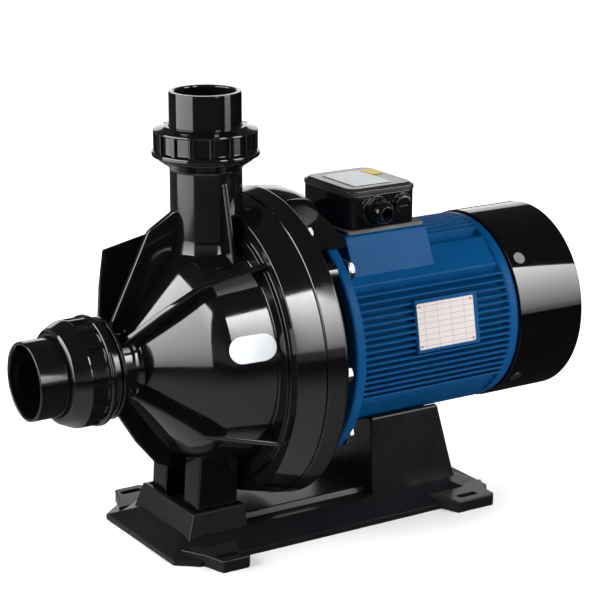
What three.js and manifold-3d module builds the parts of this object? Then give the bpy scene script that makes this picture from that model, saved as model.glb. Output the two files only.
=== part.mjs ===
// A close-coupled pool pump: ribbed plastic casing, finned motor, moulded base.
// Millimetres, +Z up. X runs along the shaft from the suction side to the fan side.
// Stations along X are measured from the axis of the discharge pipe, heights from the floor.
import * as THREE from 'three';
import { mergeVertices } from 'three/addons/utils/BufferGeometryUtils.js';
import Module from 'manifold-3d';

const wasm = await Module();
wasm.setup();

// ---- driving dimensions ----
const AXIS_HEIGHT = 202;
const GAP = 0.3;

// facets round a full turn
const LARGE_FACETS = 28;
const MEDIUM_FACETS = 20;
const SMALL_FACETS = 12;
const HOLE_FACETS = 8;
const HEX = 6;

// pipe unions, measured outwards from the face of the neck collar
const TAIL_RADIUS = 38;
const DISCHARGE_SOCKET_RADIUS = 32.2;
const SUCTION_SOCKET_RADIUS = 34.5;
const BORE_RADIUS = 29;
const THREAD_RADIUS = 44;
const THREAD_LENGTH = 18;
const TAIL_FLANGE_RADIUS = 43.5;
const TAIL_FLANGE_END = 25;
const SUCTION_TAIL_END = 78;
const DISCHARGE_TAIL_END = 69;
const SOCKET_STEP_FROM_END = 36;
const NUT_FOOT = 1.5;
const DISCHARGE_NUT_END = 33;
const SUCTION_NUT_END = 46;
const DISCHARGE_NUT_RIM_RADIUS = 56.5;
const SUCTION_NUT_RIM_RADIUS = 53.7;
const NUT_RIM_WIDTH = 4;
const NUT_RIB_COUNT = 16;
const NUT_CLEARANCE = 0.8;
const COLLAR_RADIUS = 50;
const SUCTION_GROWTH = 1.09;
const SUCTION_COLLAR_X = -137;
const DISCHARGE_COLLAR_Z = 412;

// wet end
const NECK_RADIUS = 38;
const NECK_BORE_RADIUS = 31.9;
const NECK_END_LENGTH = 19;
const CONE_START_X = -100;
const CORNER_X = -45;
const DRUM_RADIUS = 114;
const DRUM_REAR_RADIUS = 125;
const LIP_RADIUS = 140;
const LIP_X = 13;
const CASING_WALL = 6;
const RING_FRONT_X = 15;
const RING_FRONT_RADIUS = 155;
const SEAM_X = 46;
const SEAM_RADIUS = 164;
const RING_REAR_X = 70;
const RING_REAR_RADIUS = 168.5;
const SPIGOT_RADIUS = 139;
const CASING_SCREW_CIRCLE = 152.5;
const CASING_SCREW_COUNT = 6;
const RIB_THICKNESS = 6;
const FOOT_FRONT_X = -44;
const FOOT_REAR_X = 5;
const FOOT_INNER_Y = 20;
const FOOT_OUTER_Y = 50;

// motor
const FLANGE_FRONT_X = 99.3;
const FLANGE_REAR_X = 112;
const FLANGE_RADIUS = 138;
const FLANGE_BOLT_CIRCLE = 127;
const FRAME_REAR_X = 336;
const FRAME_BAND_FRONT_X = 128;
const FRAME_BAND_REAR_X = 324;
const FRAME_CORE_RADIUS = 97;
const FRAME_FIN_RADIUS = 106;
const FRAME_BORE_RADIUS = 88.5;
const FIN_PITCH = 7.2;
const FIN_THICKNESS = 2.8;
const SIDE_FIN_COUNT = 17;
const TOP_FIN_COUNT = 11;
const COVER_FRONT_X = 338;
const COVER_REAR_X = 425;
const COVER_RADIUS = 107.5;
const COVER_WALL = 2.4;
const COVER_SCREW_X = 352;
const COVER_SCREW_ANGLES = [40, 140, 220, 320];
const SHAFT_RADIUS = 10;
const ROTOR_RADIUS = 54.6;
const STATOR_BORE_RADIUS = 55.4;
const CORE_FRONT_X = 152;
const CORE_REAR_X = 296;

// terminal box
const PAD_FRONT_X = 140;
const PAD_REAR_X = 246;
const PAD_TOP_Z = 317;
const BOX_FRONT_X = 148;
const BOX_REAR_X = 235;
const BOX_HALF_WIDTH = 48;
const BOX_FLOOR_Z = 321.6;
const BOX_TOP_Z = 358;
const LID_TOP_Z = 366;
const GLAND_X = 181;
const GLAND_Z = 341;
const PLUG_X = 216;
const PLUG_Z = 343;

// base
const BASE_FRONT_X = -88;
const BASE_REAR_X = 322;
const BASE_HALF_WIDTH = 95;
const SKIRT_Z = 6;
const DECK_Z = 20;
const DECK_HALF_WIDTH = 64;
const SPINE_Z = 26;
const PEDESTAL_Z = 42;
const PEDESTAL_FLOOR_Z = 36;
const UNDERSIDE_Z = 12;
const SADDLE_FRONT_X = 172;
const SADDLE_REAR_X = 284;
const SADDLE_TOP_REAR_X = 262;
const SADDLE_TOP_Z = 109;

const ORIGIN_X = (SUCTION_COLLAR_X - SUCTION_TAIL_END + COVER_REAR_X) / 2;

// ---- materials ----
function finish(color, roughness, metalness) {
  return new THREE.MeshStandardMaterial({ color, roughness, metalness, flatShading: true });
}

const BLACK_PLASTIC = finish(0x17181a, 0.32, 0);
const BASE_PLASTIC = finish(0x242629, 0.5, 0);
const BLUE_PAINT = finish(0x11578f, 0.42, 0.1);
const COVER_PAINT = finish(0x101113, 0.25, 0.1);
const ZINC_STEEL = finish(0xc9ccd0, 0.3, 1);
const BARE_STEEL = finish(0xaeb2b6, 0.28, 1);
const RUBBER = finish(0x1d1d1e, 0.8, 0);
const COPPER = finish(0xa8562a, 0.4, 0.9);
const LAMINATION = finish(0x6c7075, 0.5, 0.9);
const LABEL_SILVER = finish(0xd9d2d2, 0.4, 0.3);
const LABEL_WHITE = finish(0xe4e7ea, 0.5, 0);
const LABEL_YELLOW = finish(0xe6cf3c, 0.5, 0);
const GREY_GASKET = finish(0x8d8f92, 0.7, 0);
const CERAMIC = finish(0xe9e6dc, 0.3, 0);
const CARBON = finish(0x35373a, 0.55, 0);
const GREY_PLASTIC = finish(0x5a5d61, 0.5, 0);

// ---- solids ----
function signedVolume(positions, corners) {
  const [a, b, c] = [new THREE.Vector3(), new THREE.Vector3(), new THREE.Vector3()];
  let volume = 0;
  for (let i = 0; i < corners.length; i += 3) {
    a.fromArray(positions, 3 * corners[i]);
    b.fromArray(positions, 3 * corners[i + 1]);
    c.fromArray(positions, 3 * corners[i + 2]);
    volume += a.dot(b.cross(c)) / 6;
  }
  return volume;
}

/** A three.js geometry as a closed solid with its faces pointing out. */
function solid(geometry) {
  const bare = geometry.clone();
  bare.deleteAttribute('normal');
  bare.deleteAttribute('uv');
  const merged = mergeVertices(bare, 1e-4);
  const positions = merged.attributes.position.array;
  const index = merged.index.array;
  const corners = [];
  for (let i = 0; i < index.length; i += 3) {
    const [a, b, c] = index.slice(i, i + 3);
    if (a !== b && b !== c && c !== a) corners.push(a, b, c);
  }
  if (signedVolume(positions, corners) < 0) corners.reverse();
  const mesh = new wasm.Mesh({
    numProp: 3,
    vertProperties: new Float32Array(positions),
    triVerts: new Uint32Array(corners),
  });
  return new wasm.Manifold(mesh);
}

function joined(first, ...others) {
  return others.reduce((whole, piece) => whole.add(piece), first);
}

function cut(first, ...tools) {
  return tools.reduce((whole, tool) => whole.subtract(tool), first);
}

/** Names a solid and gives it a material. */
function piece(name, body, material) {
  const { vertProperties, triVerts } = body.getMesh();
  const geometry = new THREE.BufferGeometry();
  geometry.setAttribute('position', new THREE.BufferAttribute(vertProperties, 3));
  geometry.setIndex(new THREE.BufferAttribute(triVerts, 1));
  const mesh = new THREE.Mesh(geometry, material);
  mesh.name = name;
  return mesh;
}

function radians(degrees) {
  return THREE.MathUtils.degToRad(degrees);
}

/** A point at a radius and an angle about the shaft, from the near side (-Y) upwards. */
function aboutShaft(radius, angle) {
  const turn = radians(angle);
  return { y: -radius * Math.cos(turn), z: AXIS_HEIGHT + radius * Math.sin(turn) };
}

/** Revolves [station, radius] points about Z. */
function revolveZ(points, segments = MEDIUM_FACETS) {
  const outline = points.map(([station, radius]) => new THREE.Vector2(radius, station));
  outline.push(outline[0].clone());
  return new THREE.LatheGeometry(outline, segments).rotateX(Math.PI / 2);
}

/** Revolves [station, radius] points about the shaft axis. */
function revolveShaft(points, segments = MEDIUM_FACETS) {
  return revolveZ(points, segments).rotateY(Math.PI / 2).translate(0, 0, AXIS_HEIGHT);
}

function ringShaft(outer, inner, from, to, segments = MEDIUM_FACETS) {
  return solid(revolveShaft([[from, inner], [from, outer], [to, outer], [to, inner]], segments));
}

function rodShaft(radius, from, to, segments = MEDIUM_FACETS) {
  return solid(revolveShaft([[from, 0], [from, radius], [to, radius], [to, 0]], segments));
}

function rodZ(radius, x, y, from, to, segments = SMALL_FACETS) {
  const rod = new THREE.CylinderGeometry(radius, radius, to - from, segments);
  return solid(rod.rotateX(Math.PI / 2).translate(x, y, (from + to) / 2));
}

function rodX(radius, y, z, from, to, segments = SMALL_FACETS) {
  const rod = new THREE.CylinderGeometry(radius, radius, to - from, segments);
  return solid(rod.rotateZ(Math.PI / 2).translate((from + to) / 2, y, z));
}

function rodY(radius, x, z, from, to, segments = SMALL_FACETS) {
  const rod = new THREE.CylinderGeometry(radius, radius, to - from, segments);
  return solid(rod.translate(x, (from + to) / 2, z));
}

function block(x0, x1, y0, y1, z0, z1) {
  const box = new THREE.BoxGeometry(x1 - x0, y1 - y0, z1 - z0);
  return solid(box.translate((x0 + x1) / 2, (y0 + y1) / 2, (z0 + z1) / 2));
}

function outline(points) {
  return new THREE.Shape(points.map(([u, v]) => new THREE.Vector2(u, v)));
}

function extruded(shape, depth, curveSegments = 4) {
  return new THREE.ExtrudeGeometry(shape, { depth, bevelEnabled: false, curveSegments });
}

/** Extrudes a (y, z) outline along X. */
function alongX(shape, from, to, curveSegments = 4) {
  const turn = new THREE.Matrix4().set(0, 0, 1, 0, 1, 0, 0, 0, 0, 1, 0, 0, 0, 0, 0, 1);
  return solid(extruded(shape, to - from, curveSegments).applyMatrix4(turn).translate(from, 0, 0));
}

/** Extrudes an (x, y) outline along Z. */
function alongZ(shape, from, to, curveSegments = 4) {
  return solid(extruded(shape, to - from, curveSegments).translate(0, 0, from));
}

function roundedRectangle(x0, x1, y0, y1, radius) {
  const shape = new THREE.Shape();
  shape.absarc(x1 - radius, y0 + radius, radius, -Math.PI / 2, 0);
  shape.absarc(x1 - radius, y1 - radius, radius, 0, Math.PI / 2);
  shape.absarc(x0 + radius, y1 - radius, radius, Math.PI / 2, Math.PI);
  shape.absarc(x0 + radius, y0 + radius, radius, Math.PI, Math.PI * 1.5);
  return shape;
}

/** A solid between two outlines with the same number of points, at two heights. */
function loft(low, lowZ, high, highZ) {
  const count = low.length;
  const positions = [...low.map(([x, y]) => [x, y, lowZ]), ...high.map(([x, y]) => [x, y, highZ])];
  const corners = [];
  for (let i = 0; i < count; i += 1) {
    const next = (i + 1) % count;
    corners.push(i, next, count + next, i, count + next, count + i);
    if (i > 0 && next > 0) {
      corners.push(0, next, i);
      corners.push(count, count + i, count + next);
    }
  }
  const geometry = new THREE.BufferGeometry();
  geometry.setAttribute('position', new THREE.Float32BufferAttribute(positions.flat(), 3));
  geometry.setIndex(corners);
  return solid(geometry);
}

/** A flat plate of an (axial, radial) outline, standing on the shaft axis at an angle. */
function radialPlate(points, thickness, angle) {
  const turn = new THREE.Matrix4().set(1, 0, 0, 0, 0, 0, -1, 0, 0, 1, 0, 0, 0, 0, 0, 1);
  const plate = extruded(outline(points), thickness).translate(0, 0, -thickness / 2);
  return solid(plate.applyMatrix4(turn).rotateX(radians(90 - angle)).translate(0, 0, AXIS_HEIGHT));
}

// ---- pipe unions: built along +Z from the collar face, then placed ----
function placedUnion(geometry, side) {
  if (side === 'discharge') return solid(geometry.translate(0, 0, DISCHARGE_COLLAR_Z));
  const grown = geometry.scale(SUCTION_GROWTH, SUCTION_GROWTH, 1);
  return solid(grown.rotateY(-Math.PI / 2).translate(SUCTION_COLLAR_X, 0, AXIS_HEIGHT));
}

function unionTail(side) {
  const foot = THREAD_LENGTH + GAP;
  const end = side === 'discharge' ? DISCHARGE_TAIL_END : SUCTION_TAIL_END;
  const step = end - SOCKET_STEP_FROM_END;
  const socket = side === 'discharge' ? DISCHARGE_SOCKET_RADIUS : SUCTION_SOCKET_RADIUS;
  const profile = [
    [foot, BORE_RADIUS], [foot, TAIL_FLANGE_RADIUS], [TAIL_FLANGE_END, TAIL_FLANGE_RADIUS],
    [TAIL_FLANGE_END, TAIL_RADIUS], [end - 1, TAIL_RADIUS], [end, TAIL_RADIUS - 1],
    [end, socket + 0.8], [end - 1.5, socket], [step, socket],
    [step, BORE_RADIUS],
  ];
  return piece(`${side}_union_tail`, placedUnion(revolveZ(profile), side), BLACK_PLASTIC);
}

function unionNut(side) {
  const lip = TAIL_FLANGE_END + GAP;
  const inner = THREAD_RADIUS + NUT_CLEARANCE;
  const end = side === 'discharge' ? DISCHARGE_NUT_END : SUCTION_NUT_END;
  const rim = side === 'discharge' ? DISCHARGE_NUT_RIM_RADIUS : SUCTION_NUT_RIM_RADIUS;
  const body = rim - NUT_RIM_WIDTH;
  const profile = [
    [NUT_FOOT, inner], [NUT_FOOT, rim - 1], [NUT_FOOT + 1, rim], [7, rim], [8, body], [29, body],
    [end - 2, 46], [end, 42], [end, TAIL_RADIUS + NUT_CLEARANCE], [lip, TAIL_RADIUS + NUT_CLEARANCE],
    [lip, inner],
  ];
  let nut = placedUnion(revolveZ(profile), side);
  for (let i = 0; i < NUT_RIB_COUNT; i += 1) {
    const rib = new THREE.BoxGeometry(5, 6, 19).translate(body, 0, 18.5);
    nut = nut.add(placedUnion(rib.rotateZ((2 * Math.PI * i) / NUT_RIB_COUNT), side));
  }
  return piece(`${side}_union_nut`, nut, BLACK_PLASTIC);
}

/** O-ring section as a profile of [station, radius] points. */
function roundSection(station, radius, thickness, count = 6) {
  return Array.from({ length: count }, (_, i) => {
    const turn = (2 * Math.PI * (i + 0.5)) / count;
    return [station + thickness * Math.cos(turn), radius + thickness * Math.sin(turn)];
  });
}

function unionOring(side) {
  const ring = revolveZ(roundSection(THREAD_LENGTH - 1.8, 38, 1.6), MEDIUM_FACETS);
  return piece(`${side}_union_oring`, placedUnion(ring, side), RUBBER);
}

/** The collar and threaded end that a casing neck carries, with its O-ring groove. */
function neckEnd(side) {
  const groove = THREAD_LENGTH - 3.8;
  const conicalCollar = [[-10, NECK_RADIUS], [-2, COLLAR_RADIUS], [0, COLLAR_RADIUS]];
  const thinFlange = [[-13, 40], [-11.5, COLLAR_RADIUS], [-8, COLLAR_RADIUS], [-7, 46], [0, 46]];
  const profile = [
    [-NECK_END_LENGTH, NECK_BORE_RADIUS], [-NECK_END_LENGTH, NECK_RADIUS],
    ...(side === 'discharge' ? conicalCollar : thinFlange), [0, THREAD_RADIUS],
    [THREAD_LENGTH, THREAD_RADIUS], [THREAD_LENGTH, 40], [groove, 40], [groove, 36],
    [THREAD_LENGTH, 36], [THREAD_LENGTH, NECK_BORE_RADIUS],
  ];
  return placedUnion(revolveZ(profile), side);
}

// ---- wet end ----
const CASING_RIBS = [
  { angle: 90, outer: [[-117, 44], [-70, 139], [-42, 156], [-38.4, 156]] },
  { angle: 50, outer: [[-117, 44], [-86, 88], [-54, 124], [RING_FRONT_X + 4, 148]] },
  { angle: 130, outer: [[-117, 44], [-98, 93], [-80, 132], [RING_FRONT_X + 4, 152]] },
  { angle: -32, outer: [[-114, 42], [-86, 76], [-60, 114], [RING_FRONT_X + 4, 144]] },
  { angle: 212, outer: [[-114, 42], [-86, 76], [-60, 114], [RING_FRONT_X + 4, 144]] },
  { angle: -90, outer: [[-116, 46], [-90, 88], [-66, 117], [-31, 131]] },
];

function casingRib({ angle, outer }) {
  const end = outer[outer.length - 1][0];
  const inner = [[end, 104], [CORNER_X, 104], [CONE_START_X, 34], [-116, 34]];
  return radialPlate([...outer, ...inner], RIB_THICKNESS, angle);
}

function drainAxis(geometry) {
  return solid(geometry.rotateX(radians(-142)).translate(-14, 0, AXIS_HEIGHT));
}

function casingScrewPlaces() {
  return Array.from({ length: CASING_SCREW_COUNT }, (_, i) => {
    return aboutShaft(CASING_SCREW_CIRCLE, (360 * i) / CASING_SCREW_COUNT);
  });
}

function flangeBoltPlaces() {
  return [45, 135, 225, 315].map((angle) => aboutShaft(FLANGE_BOLT_CIRCLE, angle));
}

function frontCasing() {
  const start = SUCTION_COLLAR_X + NECK_END_LENGTH + GAP;
  const shell = solid(revolveShaft([
    [start, 0], [start, NECK_RADIUS - 1], [CONE_START_X, NECK_RADIUS - 2], [CORNER_X - 5, 106],
    [CORNER_X, 111], [CORNER_X + 6, DRUM_RADIUS], [LIP_X, DRUM_REAR_RADIUS], [LIP_X, LIP_RADIUS],
    [RING_FRONT_X, LIP_RADIUS], [RING_FRONT_X, RING_FRONT_RADIUS - 2],
    [RING_FRONT_X + 2, RING_FRONT_RADIUS], [SEAM_X - 1, SEAM_RADIUS], [SEAM_X, SEAM_RADIUS - 1],
    [SEAM_X, 0],
  ], LARGE_FACETS));
  const feet = [-1, 1].map((side) => {
    const [low, high] = [FOOT_INNER_Y * side, FOOT_OUTER_Y * side].sort((a, b) => a - b);
    return block(FOOT_FRONT_X, FOOT_REAR_X, low, high, PEDESTAL_FLOOR_Z + GAP, 125);
  });
  const web = block(-16, -10, -FOOT_INNER_Y - 2, FOOT_INNER_Y + 2, 62, 110);
  const drainBoss = drainAxis(new THREE.CylinderGeometry(13, 15, 22, SMALL_FACETS).rotateX(Math.PI / 2)
    .translate(0, 0, 111));
  const outside = joined(shell, ...feet, web, drainBoss, ...CASING_RIBS.map(casingRib));
  const cavity = solid(revolveShaft([
    [-160, 0], [-160, NECK_BORE_RADIUS], [CONE_START_X - 1, NECK_BORE_RADIUS - 1],
    [CORNER_X - 1, 101], [CORNER_X + 6, DRUM_RADIUS - CASING_WALL],
    [RING_FRONT_X + 6, DRUM_REAR_RADIUS - CASING_WALL], [RING_FRONT_X + 6, SPIGOT_RADIUS],
    [SEAM_X + 1, SPIGOT_RADIUS], [SEAM_X + 1, 0],
  ]));
  const bore = rodZ(NECK_BORE_RADIUS, 0, 0, AXIS_HEIGHT + 80, DISCHARGE_COLLAR_Z, MEDIUM_FACETS);
  const drainHole = drainAxis(new THREE.CylinderGeometry(7, 7, 40, HOLE_FACETS).rotateX(Math.PI / 2)
    .translate(0, 0, 115));
  const screwHoles = casingScrewPlaces().map(({ y, z }) => {
    return rodX(4.8, y, z, SEAM_X - 19, SEAM_X + 1, HOLE_FACETS);
  });
  const footHoles = [-35, 35].map((y) => rodZ(4.3, -13, y, PEDESTAL_FLOOR_Z - 1, 62, HOLE_FACETS));
  const body = cut(outside, cavity, bore, drainHole, ...screwHoles, ...footHoles);
  return piece('front_casing', body, BLACK_PLASTIC);
}

/** The drum and ring as one closed form, grown all round. */
function drumForm(growth) {
  return solid(revolveShaft([
    [CORNER_X, 0], [CORNER_X, 111 + growth], [CORNER_X + 6, DRUM_RADIUS + growth],
    [LIP_X, DRUM_REAR_RADIUS + growth], [LIP_X + 6, DRUM_REAR_RADIUS + growth], [LIP_X + 6, 0],
  ], LARGE_FACETS));
}

/** The upright neck, bonded to the drum, with a gusset on each side. */
function dischargeNeck() {
  const tubeEnd = DISCHARGE_COLLAR_Z - NECK_END_LENGTH + 1;
  const tube = rodZ(NECK_RADIUS, 0, 0, AXIS_HEIGHT + 60, tubeEnd, MEDIUM_FACETS);
  const gussets = [-1, 1].map((side) => {
    return alongX(outline([[side * 30, 390], [side * 38, 388], [side * 60, 280], [side * 30, 280]]), -3, 3);
  });
  const bore = rodZ(NECK_BORE_RADIUS, 0, 0, AXIS_HEIGHT, DISCHARGE_COLLAR_Z, MEDIUM_FACETS);
  const ring = ringShaft(SEAM_RADIUS, 60, LIP_X - GAP, SEAM_X, LARGE_FACETS);
  const inside = drumForm(GAP);
  const body = cut(joined(tube, ...gussets), bore, inside, ring).add(neckEnd('discharge'));
  return piece('discharge_neck', body, BLACK_PLASTIC);
}

function suctionNeck() {
  return piece('suction_neck', neckEnd('suction'), BLACK_PLASTIC);
}

/** Raised hood behind the top of the casing ring, over the motor flange. */
function hood() {
  const profile = [
    [60, FLANGE_RADIUS + 1.2], [60, 160], [72, 167.5], [98, 168], [110, 162], [118, 148],
    [118, FLANGE_RADIUS + 1.2],
  ];
  const full = solid(revolveShaft(profile, LARGE_FACETS));
  const wedge = outline([
    [0, AXIS_HEIGHT], [-200 * Math.tan(radians(18)), AXIS_HEIGHT + 200],
    [200 * Math.tan(radians(18)), AXIS_HEIGHT + 200],
  ]);
  return full.intersect(alongX(wedge, 50, 130));
}

/** Thin shroud that closes the gap above the motor flange. */
function shroud() {
  const inner = FLANGE_RADIUS + 1.2;
  const full = ringShaft(inner + 3, inner, 64, 122, LARGE_FACETS);
  const wedge = outline([
    [0, AXIS_HEIGHT], [-200 * Math.tan(radians(36)), AXIS_HEIGHT + 200],
    [200 * Math.tan(radians(36)), AXIS_HEIGHT + 200],
  ]);
  return full.intersect(alongX(wedge, 50, 130));
}

function rearCasing() {
  const front = SEAM_X + GAP;
  const shell = solid(revolveShaft([
    [front, 16.5], [front, SEAM_RADIUS - 1], [front + 1, SEAM_RADIUS + 0.5],
    [RING_REAR_X - 2, RING_REAR_RADIUS], [RING_REAR_X, RING_REAR_RADIUS - 2], [RING_REAR_X, 142],
    [91, 130], [99, 126], [99, 110], [92.5, 110], [92.5, 120], [71, 133], [54, 133], [54, 27],
    [74, 27], [74, 16.5],
  ], LARGE_FACETS));
  const bosses = flangeBoltPlaces().map(({ y, z }) => rodX(13, y, z, 72, 99, 14));
  const outside = joined(shell, hood(), shroud(), ...bosses);
  const boltHoles = flangeBoltPlaces().map(({ y, z }) => rodX(6.2, y, z, 80, 100, HOLE_FACETS));
  const screwHoles = casingScrewPlaces().map(({ y, z }) => {
    return rodX(4.8, y, z, SEAM_X, RING_REAR_X + 1, HOLE_FACETS);
  });
  const groove = ringShaft(144.4, 140.9, SEAM_X, front + 3.3, LARGE_FACETS);
  return piece('rear_casing', cut(outside, ...boltHoles, ...screwHoles, groove), BLACK_PLASTIC);
}

function casingOring() {
  const ring = revolveShaft(roundSection(SEAM_X + 1.9, 142.6, 1.4), LARGE_FACETS);
  return piece('casing_oring', solid(ring), RUBBER);
}

function casingScrews() {
  return casingScrewPlaces().map(({ y, z }, i) => {
    const screw = rodX(8.6, y, z, RING_REAR_X + GAP, RING_REAR_X + 10, HEX)
      .add(rodX(4.3, y, z, SEAM_X - 18, RING_REAR_X + 1, HOLE_FACETS));
    return piece(`casing_screw_${i + 1}`, screw, ZINC_STEEL);
  });
}

function diffuser() {
  let ring = ringShaft(137.5, 97, 41.5, SEAM_X - 0.2);
  for (let i = 0; i < 8; i += 1) {
    const vane = new THREE.BoxGeometry(17, 4, 34).rotateX(radians(40)).translate(33.5, 0, 116);
    ring = ring.add(solid(vane.rotateX(radians(45 * i + 10)).translate(0, 0, AXIS_HEIGHT)));
  }
  return piece('diffuser', ring, GREY_PLASTIC);
}

function impeller() {
  const hub = ringShaft(19, SHAFT_RADIUS + GAP, 26, 44, 20);
  const back = ringShaft(91, 15, 35, 38.5);
  const front = solid(revolveShaft([[6, 33], [6, 30], [14, 30], [22, 90.5], [25, 90.5], [17, 33]]));
  let wheel = joined(hub, back);
  for (let i = 0; i < 6; i += 1) {
    const blade = new THREE.BoxGeometry(13, 3, 62).rotateX(radians(28)).translate(29, 12, 58);
    wheel = wheel.add(solid(blade.rotateX(radians(60 * i)).translate(0, 0, AXIS_HEIGHT)));
  }
  const keyway = block(25, 45, -2.3, 2.3, AXIS_HEIGHT + 8, AXIS_HEIGHT + 12.6);
  return piece('impeller', cut(joined(wheel, front), keyway), GREY_PLASTIC);
}

function impellerNut() {
  const nut = rodShaft(13, 16, 25.7, HEX);
  const dome = rodShaft(9, 11, 17, 12);
  return piece('impeller_nut', cut(joined(nut, dome), rodShaft(6.3, 14, 27, 12)), BARE_STEEL);
}

function impellerKey() {
  const key = block(30, 43, -2, 2, AXIS_HEIGHT + 7.8, AXIS_HEIGHT + 12.2);
  return piece('impeller_key', key, BARE_STEEL);
}

function mechanicalSeal() {
  const head = ringShaft(15.6, SHAFT_RADIUS + GAP, 45, 61, 20);
  const seat = ringShaft(16.2, SHAFT_RADIUS + 1, 61.6, 73.5, 20);
  return [piece('seal_head', head, CARBON), piece('seal_seat', seat, CERAMIC)];
}

function drainPlug() {
  const head = new THREE.CylinderGeometry(11, 11, 8, HEX).rotateX(Math.PI / 2).translate(0, 0, 126.6);
  const stem = new THREE.CylinderGeometry(6.2, 6.2, 14, HOLE_FACETS)
    .rotateX(Math.PI / 2).translate(0, 0, 116.5);
  return piece('drain_plug', drainAxis(head).add(drainAxis(stem)), BLACK_PLASTIC);
}

/** Blank oval badge on the near side of the casing drum. */
function badge() {
  const shape = roundedRectangle(-38, 11, -14, 14, 13.9);
  const slab = extruded(shape, 40).rotateX(Math.PI / 2).translate(0, -100, 0);
  const tilted = solid(slab.rotateX(radians(-15.7)).translate(0, 0, AXIS_HEIGHT));
  const skin = drumForm(GAP + 1.5).subtract(drumForm(GAP));
  return piece('casing_badge', skin.intersect(tilted), LABEL_WHITE);
}

// ---- motor ----
function motorFlange() {
  const body = solid(revolveShaft([
    [FLANGE_FRONT_X, 17], [FLANGE_FRONT_X, FLANGE_RADIUS - 2], [FLANGE_FRONT_X + 2, FLANGE_RADIUS],
    [FLANGE_REAR_X, FLANGE_RADIUS], [FLANGE_REAR_X, 88], [119, 88], [119, 80], [FLANGE_REAR_X, 80],
    [FLANGE_REAR_X, 41], [119, 41], [119, 31.3], [101, 31.3], [101, 17],
  ], LARGE_FACETS));
  const holes = flangeBoltPlaces().map(({ y, z }) => rodX(6.2, y, z, 98, 113, HOLE_FACETS));
  return piece('motor_flange', cut(body, ...holes), BLUE_PAINT);
}

function flangeBolts() {
  return flangeBoltPlaces().map(({ y, z }, i) => {
    const washer = rodX(12.5, y, z, FLANGE_REAR_X + GAP, FLANGE_REAR_X + 2.5, 14);
    const head = rodX(11, y, z, FLANGE_REAR_X + 2, FLANGE_REAR_X + 10, HEX);
    const shank = rodX(5.8, y, z, 84, FLANGE_REAR_X + 1, HOLE_FACETS);
    return piece(`flange_bolt_${i + 1}`, joined(washer, head, shank), ZINC_STEEL);
  });
}

/** Points of a row of straight fins between two circles, along the direction of travel. */
function finRow(count, place) {
  const points = [];
  for (let i = 0; i < count; i += 1) {
    const middle = (i - (count - 1) / 2) * FIN_PITCH;
    const [low, high] = [middle - FIN_THICKNESS / 2, middle + FIN_THICKNESS / 2];
    points.push(place(low, FRAME_CORE_RADIUS), place(low, FRAME_FIN_RADIUS));
    points.push(place(high, FRAME_FIN_RADIUS), place(high, FRAME_CORE_RADIUS));
  }
  return points;
}

/** Cross-section of the finned frame: fins at the sides, top and bottom, flats between them. */
function frameSection() {
  const onCircle = (offset, radius) => Math.sqrt(radius * radius - offset * offset);
  const flat = [[78, 67], [48, 91]];
  const right = finRow(SIDE_FIN_COUNT, (v, r) => [onCircle(v, r), v]);
  const top = finRow(TOP_FIN_COUNT, (v, r) => [-v, onCircle(v, r)]);
  const left = finRow(SIDE_FIN_COUNT, (v, r) => [-onCircle(v, r), -v]);
  const bottom = finRow(TOP_FIN_COUNT, (v, r) => [v, -onCircle(v, r)]);
  const points = [
    ...right, ...flat, ...top, ...flat.map(([y, z]) => [-y, z]).reverse(),
    ...left, ...flat.map(([y, z]) => [-y, -z]), ...bottom, ...flat.map(([y, z]) => [y, -z]).reverse(),
  ];
  return outline(points.map(([y, z]) => [y, z + AXIS_HEIGHT]));
}

function motorFrame() {
  const finned = alongX(frameSection(), FLANGE_REAR_X + GAP, FRAME_REAR_X);
  const pad = alongX(outline([
    [-70, AXIS_HEIGHT + 70], [70, AXIS_HEIGHT + 70], [52, PAD_TOP_Z], [-52, PAD_TOP_Z],
  ]), PAD_FRONT_X, PAD_REAR_X);
  const platePad = new THREE.BoxGeometry(84, 22, 58).translate(239, -95.5, 0);
  const plate = solid(platePad.rotateX(radians(-10)).translate(0, 0, AXIS_HEIGHT));
  const bandEnds = [[FLANGE_REAR_X + GAP, FRAME_BAND_FRONT_X], [FRAME_BAND_REAR_X, FRAME_REAR_X]];
  const bands = bandEnds.map(([from, to]) => {
    return rodShaft(FRAME_FIN_RADIUS, from, to, LARGE_FACETS);
  });
  const bore = rodShaft(FRAME_BORE_RADIUS, 100, 350, LARGE_FACETS);
  const wireWay = rodZ(14, 191, 0, AXIS_HEIGHT + 60, PAD_TOP_Z + 5, 24);
  return piece('motor_frame', cut(joined(finned, pad, plate, ...bands), bore, wireWay), BLUE_PAINT);
}

function nameplate() {
  const plate = new THREE.BoxGeometry(78, 0.9, 50).translate(239, -107.3, 0);
  return piece('nameplate', solid(plate.rotateX(radians(-10)).translate(0, 0, AXIS_HEIGHT)), LABEL_SILVER);
}

function statorCore() {
  let core = ringShaft(FRAME_BORE_RADIUS - GAP, STATOR_BORE_RADIUS, CORE_FRONT_X, CORE_REAR_X, LARGE_FACETS);
  for (let i = 0; i < 12; i += 1) {
    const slot = new THREE.BoxGeometry(160, 9, 18).translate(224, 0, 66.3);
    core = core.subtract(solid(slot.rotateX(radians(30 * i)).translate(0, 0, AXIS_HEIGHT)));
  }
  return piece('stator_core', core, LAMINATION);
}

function statorWindings() {
  let coils = joined(ringShaft(79, 60, 132, CORE_FRONT_X - 1), ringShaft(79, 60, CORE_REAR_X + 1, 317));
  for (let i = 0; i < 12; i += 1) {
    const bar = new THREE.BoxGeometry(170, 8, 14).translate(224, 0, 67);
    coils = coils.add(solid(bar.rotateX(radians(30 * i)).translate(0, 0, AXIS_HEIGHT)));
  }
  return piece('stator_windings', coils, COPPER);
}

function rotorCore() {
  return piece('rotor_core', ringShaft(ROTOR_RADIUS, 18 + GAP, CORE_FRONT_X, CORE_REAR_X), LAMINATION);
}

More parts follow.
